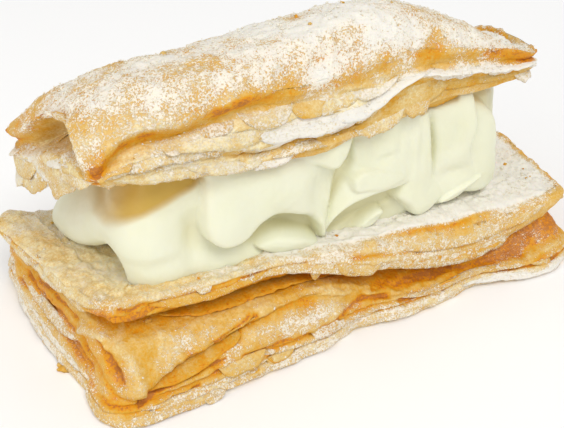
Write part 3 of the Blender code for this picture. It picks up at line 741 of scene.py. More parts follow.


# ---- the lid --------------------------------------------------------------------------
# The bake along the groove and the rim's underside is partly the crust's deeper colour and partly painted shadow
# under the rim.
LID_LINES = [
    line("seat",
        [(0, -6.5, 0.2), (45, -6.5, 0.2), (88, -6.0, 0.2)],
        [(-30, -5.5, 0.0), (-10, -6.0, 0.2)],
        (-5.5, 0.2), (-5.5, 0.2), (0.55, 0.0)),
    line("underside",
        [(2, -2.6, 1.6), (12, -2.4, 0.6), (24, -2.2, -0.8), (34, -2.0, -1.4), (44, -2.0, -1.6),
         (52, -2.4, -0.4), (62, -2.6, 0.8), (78, -2.6, 1.4), (88, -2.4, 1.8)],
        [(-33, -2.0, -0.4), (-22, -2.0, -0.6), (-11, -2.0, 0.2), (-4, -2.2, 1.5)],
        (-2.6, 0.8), (-2.4, 0.5), [(0, 0.62, 0.0), (30, 0.66, 0.0), (60, 0.6, 0.0), (150, 0.6, 0.0)], 0.6),
    line("bottom edge",
        [(1, -0.4, 1.8), (7, -0.2, 1.0), (12, 0.0, 0.4), (19, 0.1, -0.8), (24, 0.2, -1.6), (29, 0.2, -2.2),
         (35, 0.4, -2.4), (40, 0.4, -2.8), (45, 0.2, -2.4), (50, -0.2, -1.6), (56, -0.6, -0.7), (62, -0.8, 0.5),
         (69, -0.9, 1.4), (77, -0.9, 1.1), (84, -0.8, 1.4), (89, -0.6, 2.6)],
        [(-34, 0.2, -0.9), (-30, 0.4, -1.0), (-25.5, 0.5, -0.9), (-23, 0.5, -1.7), (-19, 0.5, -0.6),
         (-15, 0.5, 0.3), (-12.6, 0.6, -0.5), (-10, 0.5, 0.4), (-7.4, 0.3, 1.0), (-4, -0.1, 1.9)],
        (-0.4, 1.6), (0.0, 0.8), [(0, 0.35, 0.25), (20, 0.25, 0.35), (30, 0.45, 0.15), (45, 0.45, 0.15),
        (60, 0.4, 0.1), (80, 0.5, 0.05), (150, 0.45, 0.2), (222, 0.42, 0.4), (240, 0.42, 0.35)], 0.5),
    line("lower sheet",
        [(0.5, 0.2, 2.2), (3, 0.3, 2.6), (7, 0.5, 2.4), (12, 0.6, 2.0), (19, 0.6, 1.2), (24, 0.5, 0.4),
         (30, 0.2, -0.8), (36, 0.5, -0.6), (42, 0.5, -0.8), (48, 0.1, 0.2), (54, -0.6, 1.4), (62, -1.0, 3.4),
         (69, -1.0, 3.2), (78, -0.8, 2.8), (88, -0.2, 3.2)],
        [(-34, 0.4, 1.4), (-28, 0.5, 1.0), (-20, 0.5, 1.6), (-12, 0.5, 2.2), (-5, 0.1, 2.6), (-2, 0.0, 2.2)],
        (-0.2, 3.0), (0.4, 2.6), [(0, 0.4, 0.25), (12, 0.2, 0.3), (24, 0.2, 0.3), (36, 0.5, 0.15),
        (46, 0.55, 0.05), (60, 0.6, 0.05), (85, 0.62, 0.05), (150, 0.45, 0.2), (222, 0.36, 0.45),
        (240, 0.36, 0.4)]),
    line("lip underside",
        [(0.5, 0.2, 2.5), (3, 0.0, 3.3), (7, 0.0, 3.7), (12, 0.0, 3.7), (19, -0.2, 2.8), (24, -0.4, 1.6),
         (30, -0.9, 0.2), (36, -0.6, 1.0), (42, -0.6, 0.6), (48, -0.6, 1.4), (54, -0.7, 3.4), (60, -0.6, 6.4),
         (68, -0.5, 5.9), (78, -0.4, 4.4), (88, 0.0, 3.8)],
        [(-34, 0.2, 3.2), (-28, 0.2, 3.0), (-20, 0.2, 3.8), (-12, 0.2, 4.6), (-5, -0.2, 4.0), (-2, 0.0, 2.6)],
        (-0.2, 4.4), (0.2, 4.6), [(0, 0.5, 0.1), (12, 0.5, 0.05), (24, 0.5, 0.05), (36, 0.6, 0.0),
        (50, 0.6, 0.0), (62, 0.58, 0.05), (85, 0.75, 0.0), (150, 0.5, 0.1), (222, 0.36, 0.4),
        (240, 0.36, 0.35)], 0.4),
    line("lip",
        [(0.5, 0.8, 2.9), (3, 0.8, 4.0), (10, 0.8, 4.9), (19, 0.9, 3.9), (25, 0.9, 2.6), (31, 0.7, 1.6),
         (36, 1.0, 2.2), (40, 1.1, 1.8), (44, 1.1, 2.2), (49, 1.0, 2.9), (53, 0.9, 4.8), (57, 0.9, 7.0),
         (61, 0.9, 7.8), (68, 0.9, 6.8), (73, 0.9, 6.2), (80, 0.9, 5.0), (89, 0.8, 4.4)],
        [(-34, 0.5, 5.2), (-28, 0.4, 4.8), (-20, 0.2, 5.4), (-12, 0.0, 6.4), (-6, 0.2, 5.6), (-2, 0.5, 2.9)],
        (0.4, 5.2), (0.4, 6.0), [(0, 0.55, 0.1), (6, 0.25, 0.35), (20, 0.15, 0.5), (32, 0.18, 0.8),
        (46, 0.15, 1.0), (60, 0.1, 1.0), (88, 0.1, 0.95), (150, 0.4, 0.4), (222, 0.34, 0.45),
        (240, 0.34, 0.45)], 0.8),
    line("pale sheet",
        [(0.5, 0.6, 3.3), (3, 0.3, 4.6), (10, 0.2, 5.8), (19, 0.2, 5.9), (25, 0.1, 5.9), (31, 0.1, 5.2),
         (36, 0.2, 5.2), (42, 0.3, 4.8), (48, 0.3, 5.4), (53, 0.3, 6.4), (57, 0.2, 8.0), (61, 0.2, 8.7),
         (68, 0.2, 7.7), (73, 0.2, 7.1), (80, 0.2, 5.8), (89, 0.3, 5.0)],
        [(-34, -0.2, 6.2), (-28, -1.0, 5.8), (-20, -4.0, 6.6), (-12, -4.2, 7.8), (-6, -2.2, 6.8), (-2, 0.4, 3.4)],
        (-0.4, 6.4), (0.0, 7.6), [(0, 0.6, 0.2), (8, 0.2, 0.25), (20, 0.12, 0.3), (34, 0.15, 0.4),
        (46, 0.2, 0.5), (60, 0.35, 0.4), (88, 0.5, 0.4), (150, 0.45, 0.3), (222, 0.4, 0.3), (235, 0.4, 0.3),
        (244, 0.35, 0.5)]),
    line("groove",
        [(0.5, 0.5, 3.8), (3, -0.4, 5.4), (5, -1.0, 6.6), (9, -1.6, 7.6), (14, -1.5, 7.4), (20, -1.3, 8.0),
         (24, -1.4, 8.7), (29, -1.3, 9.1), (36, -1.0, 8.2), (42, -0.7, 8.2), (48, -0.4, 8.0), (54, -0.2, 8.2),
         (60, -0.2, 9.4), (68, -0.3, 8.6), (74, -0.4, 7.8), (81, -0.5, 6.2), (88, -0.2, 5.4)],
        [(-34, -0.8, 7.2), (-29, -1.8, 6.8), (-25, -3.4, 6.8), (-20, -7.4, 9.0), (-12, -7.6, 10.4),
         (-6, -3.8, 8.4), (-4, -1.0, 6.0), (-2, 0.5, 4.0)],
        (-1.2, 7.4), (-1.0, 9.0), [(0, 0.7, 0.1), (4, 0.45, 0.2), (8, 0.62, 0.0), (15, 0.66, 0.0),
        (22, 0.5, 0.1), (34, 0.5, 0.1), (50, 0.4, 0.3), (64, 0.5, 0.15), (84, 0.62, 0.1), (150, 0.6, 0.0),
        (218, 0.55, 0.0), (224, 0.32, 0.0), (236, 0.32, 0.0), (243, 0.4, 0.2)], 0.7),
    line("rim underside",
        [(0.5, 0.8, 4.4), (3, 0.3, 6.8), (5, 0.0, 8.4), (9, -0.2, 9.2), (15, -0.1, 8.7), (20, 0.0, 9.4),
         (24, 0.0, 10.0), (29, 0.0, 10.5), (36, 0.1, 9.6), (44, 0.2, 10.2), (52, 0.2, 10.8), (58, 0.2, 11.6),
         (67, 0.1, 10.2), (73, 0.0, 9.2), (80, 0.0, 7.6), (88, 0.2, 5.8)],
        [(-34, -0.3, 8.3), (-29, -0.8, 8.2), (-25, -1.4, 7.8), (-22.5, -2.6, 9.6), (-17, -3.4, 12.1),
         (-11, -3.2, 13.0), (-7, -1.8, 11.4), (-4, 0.1, 8.0), (-2, 0.8, 4.8)],
        (-0.4, 8.6), (-0.2, 10.2), [(0, 0.75, 0.1), (6, 0.62, 0.1), (20, 0.64, 0.08), (34, 0.64, 0.1),
        (50, 0.6, 0.2), (64, 0.66, 0.08), (84, 0.76, 0.08), (150, 0.6, 0.1), (214, 0.95, 0.0), (219, 0.8, 0.0),
        (226, 0.5, 0.0), (238, 0.5, 0.0), (244, 0.4, 0.4)], 0.8),
    line("rim",
        [(0.5, 1.0, 5.4), (3, 0.8, 8.0), (5, 0.6, 9.6), (9, 0.5, 10.4), (15, 0.5, 9.9), (20, 0.6, 10.6),
         (24, 0.6, 11.2), (29, 0.6, 11.7), (36, 0.6, 10.8), (40, 0.6, 11.2), (48, 0.6, 12.2), (54, 0.5, 12.9),
         (60, 0.4, 13.1), (67, 0.3, 11.4), (73, 0.2, 10.4), (80, 0.2, 9.0), (88, 0.5, 6.6)],
        [(-34, 0.4, 9.6), (-30, 0.3, 9.4), (-26.5, 0.2, 9.8), (-22, 0.0, 11.6), (-16.5, 0.0, 13.4),
         (-11, 0.0, 14.4), (-7, 0.1, 13.0), (-4, 0.6, 9.8), (-2, 1.0, 6.0)],
        (0.2, 9.4), (0.2, 11.0), [(0, 0.76, 0.3), (4, 0.54, 0.38), (10, 0.48, 0.42), (24, 0.55, 0.4),
        (40, 0.58, 0.46), (55, 0.6, 0.38), (72, 0.7, 0.3), (86, 0.74, 0.3), (100, 0.65, 0.45), (150, 0.5, 0.6),
        (215, 0.85, 0.2), (225, 0.7, 0.35), (238, 0.5, 0.4), (245, 0.4, 0.5)]),
]


# how far the top of the dome stands above the lid's leaning underside: (along the slice, rise)
CROWN_LINE = [
    (-54, 18.6), (-44, 19.1), (-34, 19.4), (-24, 19.9), (-14, 20.8), (-4, 22.2), (3, 22.8), (8, 22.7),
    (12, 22.2), (16, 20.9), (21, 18.6), (26, 16.2), (31, 14.0), (36, 11.8), (41, 9.4), (46, 6.8), (52, 5.0),
]


def crown_height(x, dome):
    """Return how far the domed crust stands above the lid's leaning underside."""
    top = through(*zip(*CROWN_LINE), x)
    return top * (0.52 + 0.48 * dome)


# toasted spots on the lid: width, depth, added bake, places (along, up)
LID_SPOTS = [
    (1.1, 0.0, 0.6, [(0.0, 44.4), (0.8, 47.0)]), (2.4, 0.0, 0.6, [(-36, 41.5), (-33, 40.6)]),
    (1.3, 0.0, 0.5, [(-12.5, 36.8), (-11, 37.4)]), (1.1, 0.0, 0.5, [(-34, 35.0), (-33.5, 36.4)]),
    (1.2, 0.0, 0.45, [(-26, 48.5), (-20, 50.0), (-12, 51.0)]), (1.6, 0.0, 0.4, [(22, 52.6), (26, 54.0)]),
    (1.2, 0.0, 0.45, [(86, 47.6), (90, 47.2)]), (1.0, 0.0, 0.35, [(4, 49.8), (10, 51.4)]),
    (1.0, 0.0, 0.35, [(43.6, 38.0), (46, 38.6)]),
]


def build_lid():
    """Build the upper pastry: ragged pale sheets, a golden groove and the domed crust."""
    rows, inner, faces, place, along, counts, (u, v) = raise_shell(LID, LID_LINES, LID_COLUMNS, LID_ROW_STEP,
                                                                   seat_height)
    x = inner[:, 0]
    # the crust rises as an arch across and stays high along, with quick falls at both ends
    across = 1.0 - np.abs(2 * v - 1) ** 2.3
    lengthwise = 1.0 - np.abs(2 * u - 1) ** 7
    dome = np.sqrt(np.clip(across * lengthwise, 0, 1))
    edge = spread_inwards(rows[-1][:, 2] - lid_seat(rows[-1][:, 1]), counts, u, v, 3.0)
    share = ease(0.0, 0.75, dome)
    inner[:, 2] = lid_seat(inner[:, 1]) + edge * (1 - share) + crown_height(x, dome) * share
    sugar_in = 0.41 + 0.15 * ease(0.2, 0.9, dome) + 0.23 * ease(-42, -8, x)
    blend = ease(0.1, 0.55, dome)
    inner[:, 4] = inner[:, 4] * (1 - blend) + sugar_in * blend
    inner[:, 3] = inner[:, 3] * (1 - blend) + 0.6 * blend
    points = np.concatenate([rows.reshape(-1, 5), inner])
    xyz = points[:, :3]
    piece = make_mesh("lid_crust", xyz, faces)
    normals = read_points(piece, "normal")
    at = line_order(LID_LINES)
    # ragged sheets below the groove, domed crust above it
    sheets = ease(0.6, at["bottom edge"], place) * (1.0 - ease(at["groove"], at["rim underside"], place))
    crust = ease(at["groove"], at["rim"], place)
    push = laminate(xyz, depth=0.38, seed=101) * sheets + bubbles(xyz, depth=0.42, seed=113) * crust
    push = push + (0.5 * layered_grain(xyz, 11.0, 127, 2) + crumble(xyz, depth=0.24, seed=151)) * crust
    write_points(piece, xyz + normals * push[:, None])
    tone = points[:, 3] + 0.12 * layered_grain(xyz, 4.5, 131) + 0.10 * layered_grain(xyz, 1.4, 137)
    # painted shade: the sheets darken where they are pushed in, and the crust pales where it stands out
    tone = tone + 0.30 * np.clip(-push, -0.5, 0.6) * sheets - 0.18 * np.clip(push, -0.6, 0.6) * crust
    _, warm = press(along, xyz[:, 2], LID_SPOTS)
    paint(piece, "bake", tone + warm)
    dust = points[:, 4] + 0.28 * layered_grain(xyz, 6.0, 139, 4) * ease(0.0, 0.1, points[:, 4]) - 0.8 * warm
    paint(piece, "sugar", dust)
    return piece


# torn sheets: start, end, root line, edge line, hang past the edge, reach outwards, bake, sugar,
# then how ragged and how thick where it differs
LID_SHEETS = [
    (-1, 26, "pale sheet", "lip underside", 0.9, 1.3, 0.22, 0.45),
    (8, 33, "groove", "lip", 0.2, 0.9, 0.12, 0.35),
    (2, 25, "lower sheet", "bottom edge", 0.7, 0.8, 0.20, 0.35),
    (14, 31, "lip underside", "bottom edge", 0.5, 1.1, 0.12, 0.45),
    (29, 45, "lip underside", "lower sheet", 0.9, 0.9, 0.30, 0.45),
    (26, 54, "pale sheet", "lip", 0.7, 0.8, 0.15, 0.75),
    (40, 64, "pale sheet", "lip", 0.5, 1.0, 0.12, 0.92),
    (56, 92, "pale sheet", "lip", 0.6, 0.9, 0.10, 1.0),
    (44, 70, "lip underside", "bottom edge", 0.2, 0.4, 0.42, 0.1),
    (62, 93, "lip underside", "lower sheet", 0.4, 0.4, 0.48, 0.1),
    (84, 97, "lower sheet", "bottom edge", 1.5, 0.9, 0.25, 0.55),
    (18, 40, "groove", "pale sheet", 0.4, 0.5, 0.16, 0.25),
    (34, 50, "groove", "pale sheet", 0.3, 0.5, 0.22, 0.4),
    (-34, -14, "lip underside", "bottom edge", 0.9, 0.6, 0.28, 0.3),
    (-18, -4, "lower sheet", "bottom edge", 1.2, 0.7, 0.34, 0.3),
    (-12, 0, "lip", "lower sheet", 0.8, 0.8, 0.26, 0.4),
    (-33, -20, "lip", "lower sheet", 0.8, 0.6, 0.28, 0.3),
    # the sheets that hang under the lid's front edge carry a golden bake that is partly painted shade under the lid
    (-2, 4, "bottom edge", "underside", 1.6, -0.6, 0.36, 0.35),
    (2, 11, "bottom edge", "underside", 1.2, -0.5, 0.42, 0.25),
    (8, 19, "bottom edge", "underside", 0.8, -0.5, 0.42, 0.2),
    (63, 72, "bottom edge", "underside", 1.4, -0.4, 0.62, 0.0),
]


def build_lid_sheets():
    """Build the torn sheets that hang along the lid's sides."""
    sheets = Sheets(LID, LID_LINES, seat_height, seed=5)
    for sheet in LID_SHEETS:
        sheets.add(*sheet)
    pairs = [("lip", "lip underside"), ("pale sheet", "lip"), ("lower sheet", "bottom edge"),
             ("groove", "pale sheet")]
    sheets.scatter(70, pairs, length=(3.0, 12.0), hang=(0.1, 1.1), proud=(0.3, 1.1), bake=(0.08, 0.5),
                   sugar=(0.1, 0.7))
    return sheets.finish("lid_torn_sheets")


BASE_SHEETS = [
    (-8, 24, "hem top", "hem", 0.7, 0.7, 0.42, 0.42),
    (18, 50, "hem top", "hem", 0.6, 0.6, 0.36, 0.55),
    (44, 76, "hem top", "hem", 0.5, 0.7, 0.32, 0.55),
    (72, 108, "hem top", "hem", 0.6, 0.7, 0.25, 0.8),
    (3, 30, "bottom layers", "hem top", 0.2, 0.5, 0.45, 0.45),
    (26, 60, "lens crease", "bottom layers", 0.2, 0.4, 0.42, 0.5),
    (60, 96, "lens edge", "bottom layers", 0.1, 0.5, 0.36, 0.4),
    (4, 26, "fold groove", "lens belly", -0.2, 0.5, 0.62, 0.05),
    (8, 34, "fold crest", "fold groove", -0.3, 0.4, 0.5, 0.1),
    (-44, -10, "hem top", "hem", 0.8, 0.7, 0.32, 0.7),
    (-42, -6, "bottom layers", "crack", 0.5, 0.7, 0.35, 0.6),
    (-38, -12, "lens belly", "lens edge", 0.4, 0.4, 0.45, 0.5),
    (2, 44, "lip underside", "crevice", -0.8, 1.0, 0.74, 0.0),
    (10, 52, "crevice", "skirt top", -0.9, -1.2, 0.66, 0.0),
    (39, 46, "lip", "skirt top", -2.4, 0.0, 0.42, 0.25, 1.4, 0.2),
    (-1, 11, "slab face", "lip", 0.3, 0.4, 0.92, 0.05),
    (9, 32, "slab face", "lip", 0.4, 0.5, 0.62, 0.18),
    (26, 60, "slab face", "lip", 0.4, 0.5, 0.45, 0.4),
    (52, 92, "slab face", "lip", 0.5, 0.4, 0.42, 0.45),
    (74, 104, "slab rim", "lip", 0.3, 0.3, 0.45, 0.4),
    (56, 106, "slab rim", "slab face", 0.1, 0.6, 0.42, 0.4),
    (-40, -12, "slab face", "lip", 0.7, 0.6, 0.25, 0.4),
    (-26, -2, "slab rim", "slab face", 0.5, 0.6, 0.22, 0.3),
    (14.4, 19.4, "hem", "foot", -0.15, 1.6, 0.36, 0.45, 0.7, 0.4),
    (-24.6, -22.0, "hem", "foot", -0.1, 1.2, 0.4, 0.4, 0.5, 0.4),
]


def build_base_sheets():
    """Build the torn sheets along the base: hem, crevice and upper lip."""
    sheets = Sheets(SLAB, BASE_LINES, plain_height, seed=8)
    for sheet in BASE_SHEETS:
        sheets.add(*sheet)
    pairs = [("hem top", "hem"), ("bottom layers", "hem top"), ("slab face", "lip"), ("slab rim", "slab face"),
             ("lens edge", "bottom layers")]
    sheets.scatter(90, pairs, length=(3.0, 12.0), hang=(0.1, 0.9), proud=(0.2, 0.7), bake=(0.3, 0.6),
                   sugar=(0.15, 0.5))
    return sheets.finish("base_torn_sheets")


# ---- loose sugar and crumbs ---------------------------------------------------------------
def ball(rings):
    """Return the points and faces of a small rounded lump."""
    mesh = bpy.data.meshes.new("lump")
    shape = bmesh.new()
    bmesh.ops.create_icosphere(shape, subdivisions=rings, radius=1.0)
    shape.to_mesh(mesh)
    shape.free()
    points = np.array([v.co[:] for v in mesh.vertices])
    faces = np.array([p.vertices[:] for p in mesh.polygons])
    bpy.data.meshes.remove(mesh)
    return points, faces


def scattered(name, places, normals, sizes, rings, flatness, rough, seed):
    """Return one piece made of many small uneven lumps that sit on their places."""
    random = np.random.default_rng(seed)
    lump, faces = ball(rings)
    count = len(places)
    turn = random.normal(size=(count, 3, 3))
    turn, _ = np.linalg.qr(turn)
    stretch = random.uniform(1.0 - rough, 1.0 + rough, size=(count, 1, 3))
    body = lump[None] * stretch * (1.0 + 0.3 * random.uniform(-1, 1, size=(count, len(lump), 1)))
    body = np.einsum("nij,nkj->nki", turn, body) * sizes[:, None, None]
    lean = np.einsum("nki,ni->nk", body, normals)[..., None] * normals[:, None, :]
    body = body - lean * (1.0 - flatness)
    points = body + places[:, None, :] + normals[:, None, :] * (sizes * flatness * 0.4)[:, None, None]
    index = faces[None] + (np.arange(count) * len(lump))[:, None, None]
    return make_mesh(name, points.reshape(-1, 3), index.reshape(-1, 3).tolist())


def sugar_clumps(hosts):
    """Build the small lumps of icing sugar that lie on the sugared pastry."""
    random = np.random.default_rng(21)
    places, normals, sizes = [], [], []
    for host, count in hosts:
        points, facing = read_points(host), read_points(host, "normal")
        sugar = np.empty(len(points))
        host.data.attributes["sugar"].data.foreach_get("value", sugar)
        drift = 0.5 + 0.5 * grain(points, 5.0, 23)
        chance = np.clip(sugar, 0, 1) ** 1.5 * np.clip(facing[:, 2] + 0.25, 0, 1) * drift
        chosen = random.choice(len(points), size=count, p=chance / chance.sum())
        shift = random.uniform(-0.2, 0.2, size=(count, 3))
        places.append(points[chosen] + shift)
        normals.append(facing[chosen])
        sizes.append(np.clip(random.lognormal(-2.05, 0.38, count), 0.06, 0.32))
    return scattered("sugar_clumps", np.concatenate(places), np.concatenate(normals), np.concatenate(sizes),
                     rings=1, flatness=0.7, rough=0.35, seed=29)


# crumbs on the floor beside the foot: (x, y, size)
FLOOR_CRUMBS = [(-55.3, -8.0, 0.9), (-55.6, -6.6, 0.6)]


def pastry_crumbs(hosts):
    """Build the brown and golden crumbs on the pastry and beside the foot."""
    random = np.random.default_rng(31)
    places, normals = [], []
    for host, count in hosts:
        points, facing = read_points(host), read_points(host, "normal")
        chance = np.clip(facing[:, 2] - 0.35, 0, 1)
        chosen = random.choice(len(points), size=count, p=chance / chance.sum())
        places.append(points[chosen])
        normals.append(facing[chosen])
    places, normals = np.concatenate(places), np.concatenate(normals)
    sizes = random.uniform(0.15, 0.5, len(places)) * random.uniform(0.5, 1.3, len(places))
    for x, y, size in FLOOR_CRUMBS:
        places, normals = np.vstack([places, [x, y, 0.3 * size]]), np.vstack([normals, [0, 0, 1]])
        sizes = np.append(sizes, size)
    piece = scattered("pastry_crumbs", places, normals, sizes, rings=2, flatness=0.6, rough=0.45, seed=37)
    count = len(piece.data.vertices)
    paint(piece, "bake", np.repeat(random.uniform(0.35, 0.85, len(places)), count // len(places)))
    paint(piece, "sugar", np.full(count, 0.12))
    return piece


# ---- the cream ------------------------------------------------------------------------
# Folds of the piped cream, back to front. Each is a soft sheet bounded by a lip: places are
# (along, up, out) round its edge, with the radius of the lip and how much the sheet swells.
FOLDS = [
    ("left lobe", 2.2, 0.8, [
        (-34, 22.0, 1.8), (-33.5, 18.0, 2.8), (-29, 17.0, 3.7), (-23, 17.4, 3.8), (-16, 19.8, 3.4),
        (-10.8, 23.0, 2.8), (-7.6, 24.4, 2.3), (-5.6, 24.0, 2.2), (-4.2, 22.0, 2.2), (-2.9, 18.6, 2.2),
        (2, 18.2, 1.8), (7, 18.2, 1.5), (12, 18.0, 1.5), (17, 17.6, 1.6), (22, 17.2, 1.6), (25.5, 18.6, 1.0),
        (23, 21.4, 0.0), (19, 23.4, -0.6), (15, 26.5, -0.8), (13, 31, -0.4), (13.5, 35, 0.0), (13, 39, -1.5),
        (6, 41.5, -2.5), (-8, 40, -2.4), (-18, 34, -2.4), (-30, 27, -1.6)]),
    ("end lobe", 2.0, 0.6, [
        (69, 39, 0.6), (73, 38.6, 0.8), (77, 35, 1.0), (79, 30.5, 1.2), (79.6, 27, 1.4), (81, 22, 1.6),
        (81, 17, 1.2), (74, 17, 0.8), (68, 20, 0.4), (67, 30, 0.4)]),
    ("tall fold", 1.6, 0.5, [
        (59, 43, -0.4), (60.5, 38, 0.5), (61.5, 33.5, 0.9), (62.0, 29, 0.9), (61.6, 25, 0.6), (61, 22.0, 0.6),
        (62, 18.0, 1.1), (66, 17.2, 1.3), (70, 18.0, 1.2), (73, 21.0, 1.1), (72.2, 24.4, 1.4), (71.4, 27, 1.7),
        (70.4, 30.5, 2.3), (71.0, 35, 2.4), (70.4, 38.5, 2.0), (68, 44, 0.4)]),
    ("upright fold", 1.5, 0.6, [
        (53.6, 25, 1.9), (53.2, 22.6, 2.2), (55.4, 20.2, 2.6), (57.4, 17.6, 2.7), (60.0, 17.2, 2.4),
        (63.6, 18.6, 1.6), (64.4, 21, 1.2), (62.4, 25, 1.1), (61.4, 30, 1.2), (60.8, 35, 1.0), (59.6, 43, -0.4),
        (55, 44, 0.2), (54.6, 37, 1.5), (55.2, 31, 1.8), (55.0, 27.6, 1.9)]),
    ("small flap", 0.5, 0.2, [
        (63.6, 18.8, 2.2), (66, 20.2, 2.5), (70, 21.4, 2.5), (73.8, 22.4, 2.0), (73.6, 21.4, 1.6),
        (70, 19.8, 1.8), (66.5, 18.4, 1.9)]),
    ("foot of the broad fold", 0.9, 0.4, [
        (35.6, 16.6, 0.6), (38.4, 18.0, -0.3), (43, 19.2, -1.2), (47, 20.0, -1.5), (52, 21.0, -1.1),
        (56, 21.4, 0.0), (57, 17.0, 0.0), (47, 16.4, -0.6)]),
    ("tongue", 0.5, 0.2, [
        (44.4, 17.4, 1.3), (46.4, 19.2, 1.5), (49.4, 20.6, 1.3), (50.4, 19.8, 1.1), (48.2, 17.6, 1.2)]),
    ("broad fold", 0.9, 0.7, [
        (36.2, 18.4, 1.6), (38, 21.4, 1.9), (40, 23.6, 2.2), (42.4, 25.2, 2.6), (45.5, 26.0, 2.9),
        (49.5, 26.0, 2.7), (53, 25.8, 2.2), (55.6, 26.6, 1.6), (56, 31, 1.4), (55.6, 37, 1.2), (54.5, 44, 0.4),
        (49, 45, -0.4), (42.5, 43, -0.6), (42.4, 37.5, 0.8), (42.6, 33.5, 1.0), (41, 29.5, 0.8),
        (38.6, 25.0, 0.7)]),
    ("inner step", 0.9, 0.3, [
        (42.6, 28.0, 3.1), (42.0, 30.8, 3.1), (44, 32.2, 3.0), (47, 31.8, 3.0), (50.5, 30.4, 2.8),
        (54, 28.0, 2.2), (49.5, 26.8, 3.0), (45.5, 27.6, 3.2)]),
    ("drop", 1.3, 0.9, [
        (13.6, 43, -0.6), (13.0, 38.5, 1.2), (12.2, 35, 2.4), (11.6, 31.5, 3.2), (11.8, 28.6, 3.7),
        (13.0, 26.2, 3.9), (15.0, 24.9, 4.0), (17.4, 24.6, 3.8), (19.6, 25.2, 3.5), (21.4, 26.3, 3.2),
        (23, 27.4, 2.9), (25.6, 28.0, 2.6), (28.5, 27.2, 2.4), (31.5, 25.8, 2.3), (33.6, 24.2, 2.2),
        (35.4, 21.8, 2.1), (36.6, 18.6, 1.8), (38.0, 24.0, 0.8), (39.4, 29.5, 0.2), (41.0, 34.5, 0.0),
        (42.3, 39, -0.4), (42, 44, -1.2), (27, 45, -1.4)]),
    ("petal", 0.9, 0.6, [
        (22.2, 21.4, 1.7), (24, 22.4, 2.2), (26.4, 22.8, 2.6), (29.5, 22.0, 2.9), (32.5, 20.6, 2.6),
        (35.4, 18.2, 1.9), (34.6, 16.6, 1.7), (31, 16.4, 1.9), (27.5, 17.6, 2.1), (24.2, 19.6, 1.9)]),
    ("curl", 1.1, 0.4, [
        (31.0, 38.8, 1.0), (33.4, 36.5, 2.0), (36.0, 34.9, 2.8), (38.2, 34.6, 3.2), (39.9, 35.8, 3.2),
        (41.0, 38.2, 2.7), (42.0, 41.0, 1.9), (42.6, 45, 0.4), (33.5, 45, 0.0)]),
]
# dents pressed into the cream: (along, up, length along, length up, depth)
DENTS = [
    (49.5, 33.2, 2.0, 1.0, 0.7), (35.2, 29.0, 2.6, 5.0, 1.5), (9.6, 27.0, 1.8, 4.6, 1.3),
    (3.0, 24.0, 5.0, 1.6, 0.5), (67.0, 24.6, 3.0, 2.2, 0.9), (39.6, 32, 1.2, 6.0, 0.7),
    (-14, 31.6, 10, 1.4, 0.5), (66.0, 34.0, 1.4, 5.0, 0.5), (46.6, 37.5, 1.1, 4.5, 0.5),
    (29.0, 23.6, 5.0, 1.6, 1.6), (20.5, 33.0, 3.0, 5.0, 0.7), (57.8, 33.0, 1.0, 6.0, 0.4),
    (52.6, 37.0, 1.0, 5.0, 0.35), (46.0, 19.0, 5.0, 1.4, 0.5),
]


# height above which the cream is painted with the lid's shadow, a warm tan: (along, up)
TAN_LINE = [
    (-28, 46), (-20, 31.0), (-13, 29.4), (-8, 29.6), (-4.5, 31.2), (-1.5, 32.6), (2.4, 34.0), (6, 34.9),
    (8.4, 35.8), (11, 36.6), (13, 38.0), (14, 50), (55, 50), (57.4, 39.8), (61.5, 40.2), (66, 41.0), (68, 50),
]


CREAM_COLUMNS, CREAM_ROWS = (270, 80), 110
CREAM_HIDDEN_FOOT, CREAM_HIDDEN_TOP = 0.8, 1.0      # how far the cream runs into the pastry
FOLD_BLEND = 0.36                                   # how softly the folds melt together


def rounded_loop(points, steps=5):
    """Return a closed smooth line through the points."""
    points = np.asarray(points, float)
    before, after = np.roll(points, 1, axis=0), np.roll(points, -1, axis=0)
    later = np.roll(points, -2, axis=0)
    pieces = []
    for step in range(steps):
        u = step / steps
        pieces.append(0.5 * (2 * points + (after - before) * u
                             + (2 * before - 5 * points + 4 * after - later) * u ** 2
                             + (3 * points - before - 3 * after + later) * u ** 3))
    return np.stack(pieces, axis=1).reshape(-1, points.shape[1])


def fold_reach(d, z, edge, lip, swell):
    """Return how far out one fold of cream reaches at each place."""
    edge = rounded_loop(edge)
    nearest = np.full(d.shape, 1e9)
    inside = np.zeros(d.shape, bool)
    weight, total = 0.0, 0.0
    for (d0, z0, o0), (d1, z1, _) in zip(edge, np.roll(edge, -1, axis=0)):
        run, climb = d1 - d0, z1 - z0
        share = np.clip(((d - d0) * run + (z - z0) * climb) / (run * run + climb * climb + 1e-9), 0.0, 1.0)
        gap = (d - d0 - share * run) ** 2 + (z - z0 - share * climb) ** 2
        nearest = np.minimum(nearest, gap)
        crosses = ((z0 > z) != (z1 > z)) & (d < run * (z - z0) / (climb + 1e-12) + d0)
        inside ^= crosses
        pull = 1.0 / (gap + 0.6) ** 1.6
        weight, total = weight + pull, total + pull * o0
    gap = np.sqrt(nearest)
    plane = total / weight
    turn = 1.0 - np.clip(gap / lip, 0.0, 1.0)
    sheet = plane + swell * (1.0 - np.exp(-gap / 3.0)) - lip * (1.0 - np.sqrt(np.clip(1.0 - turn ** 2, 0.0, 1.0)))
    return np.where(inside, sheet, plane - lip - 5.0 * gap)


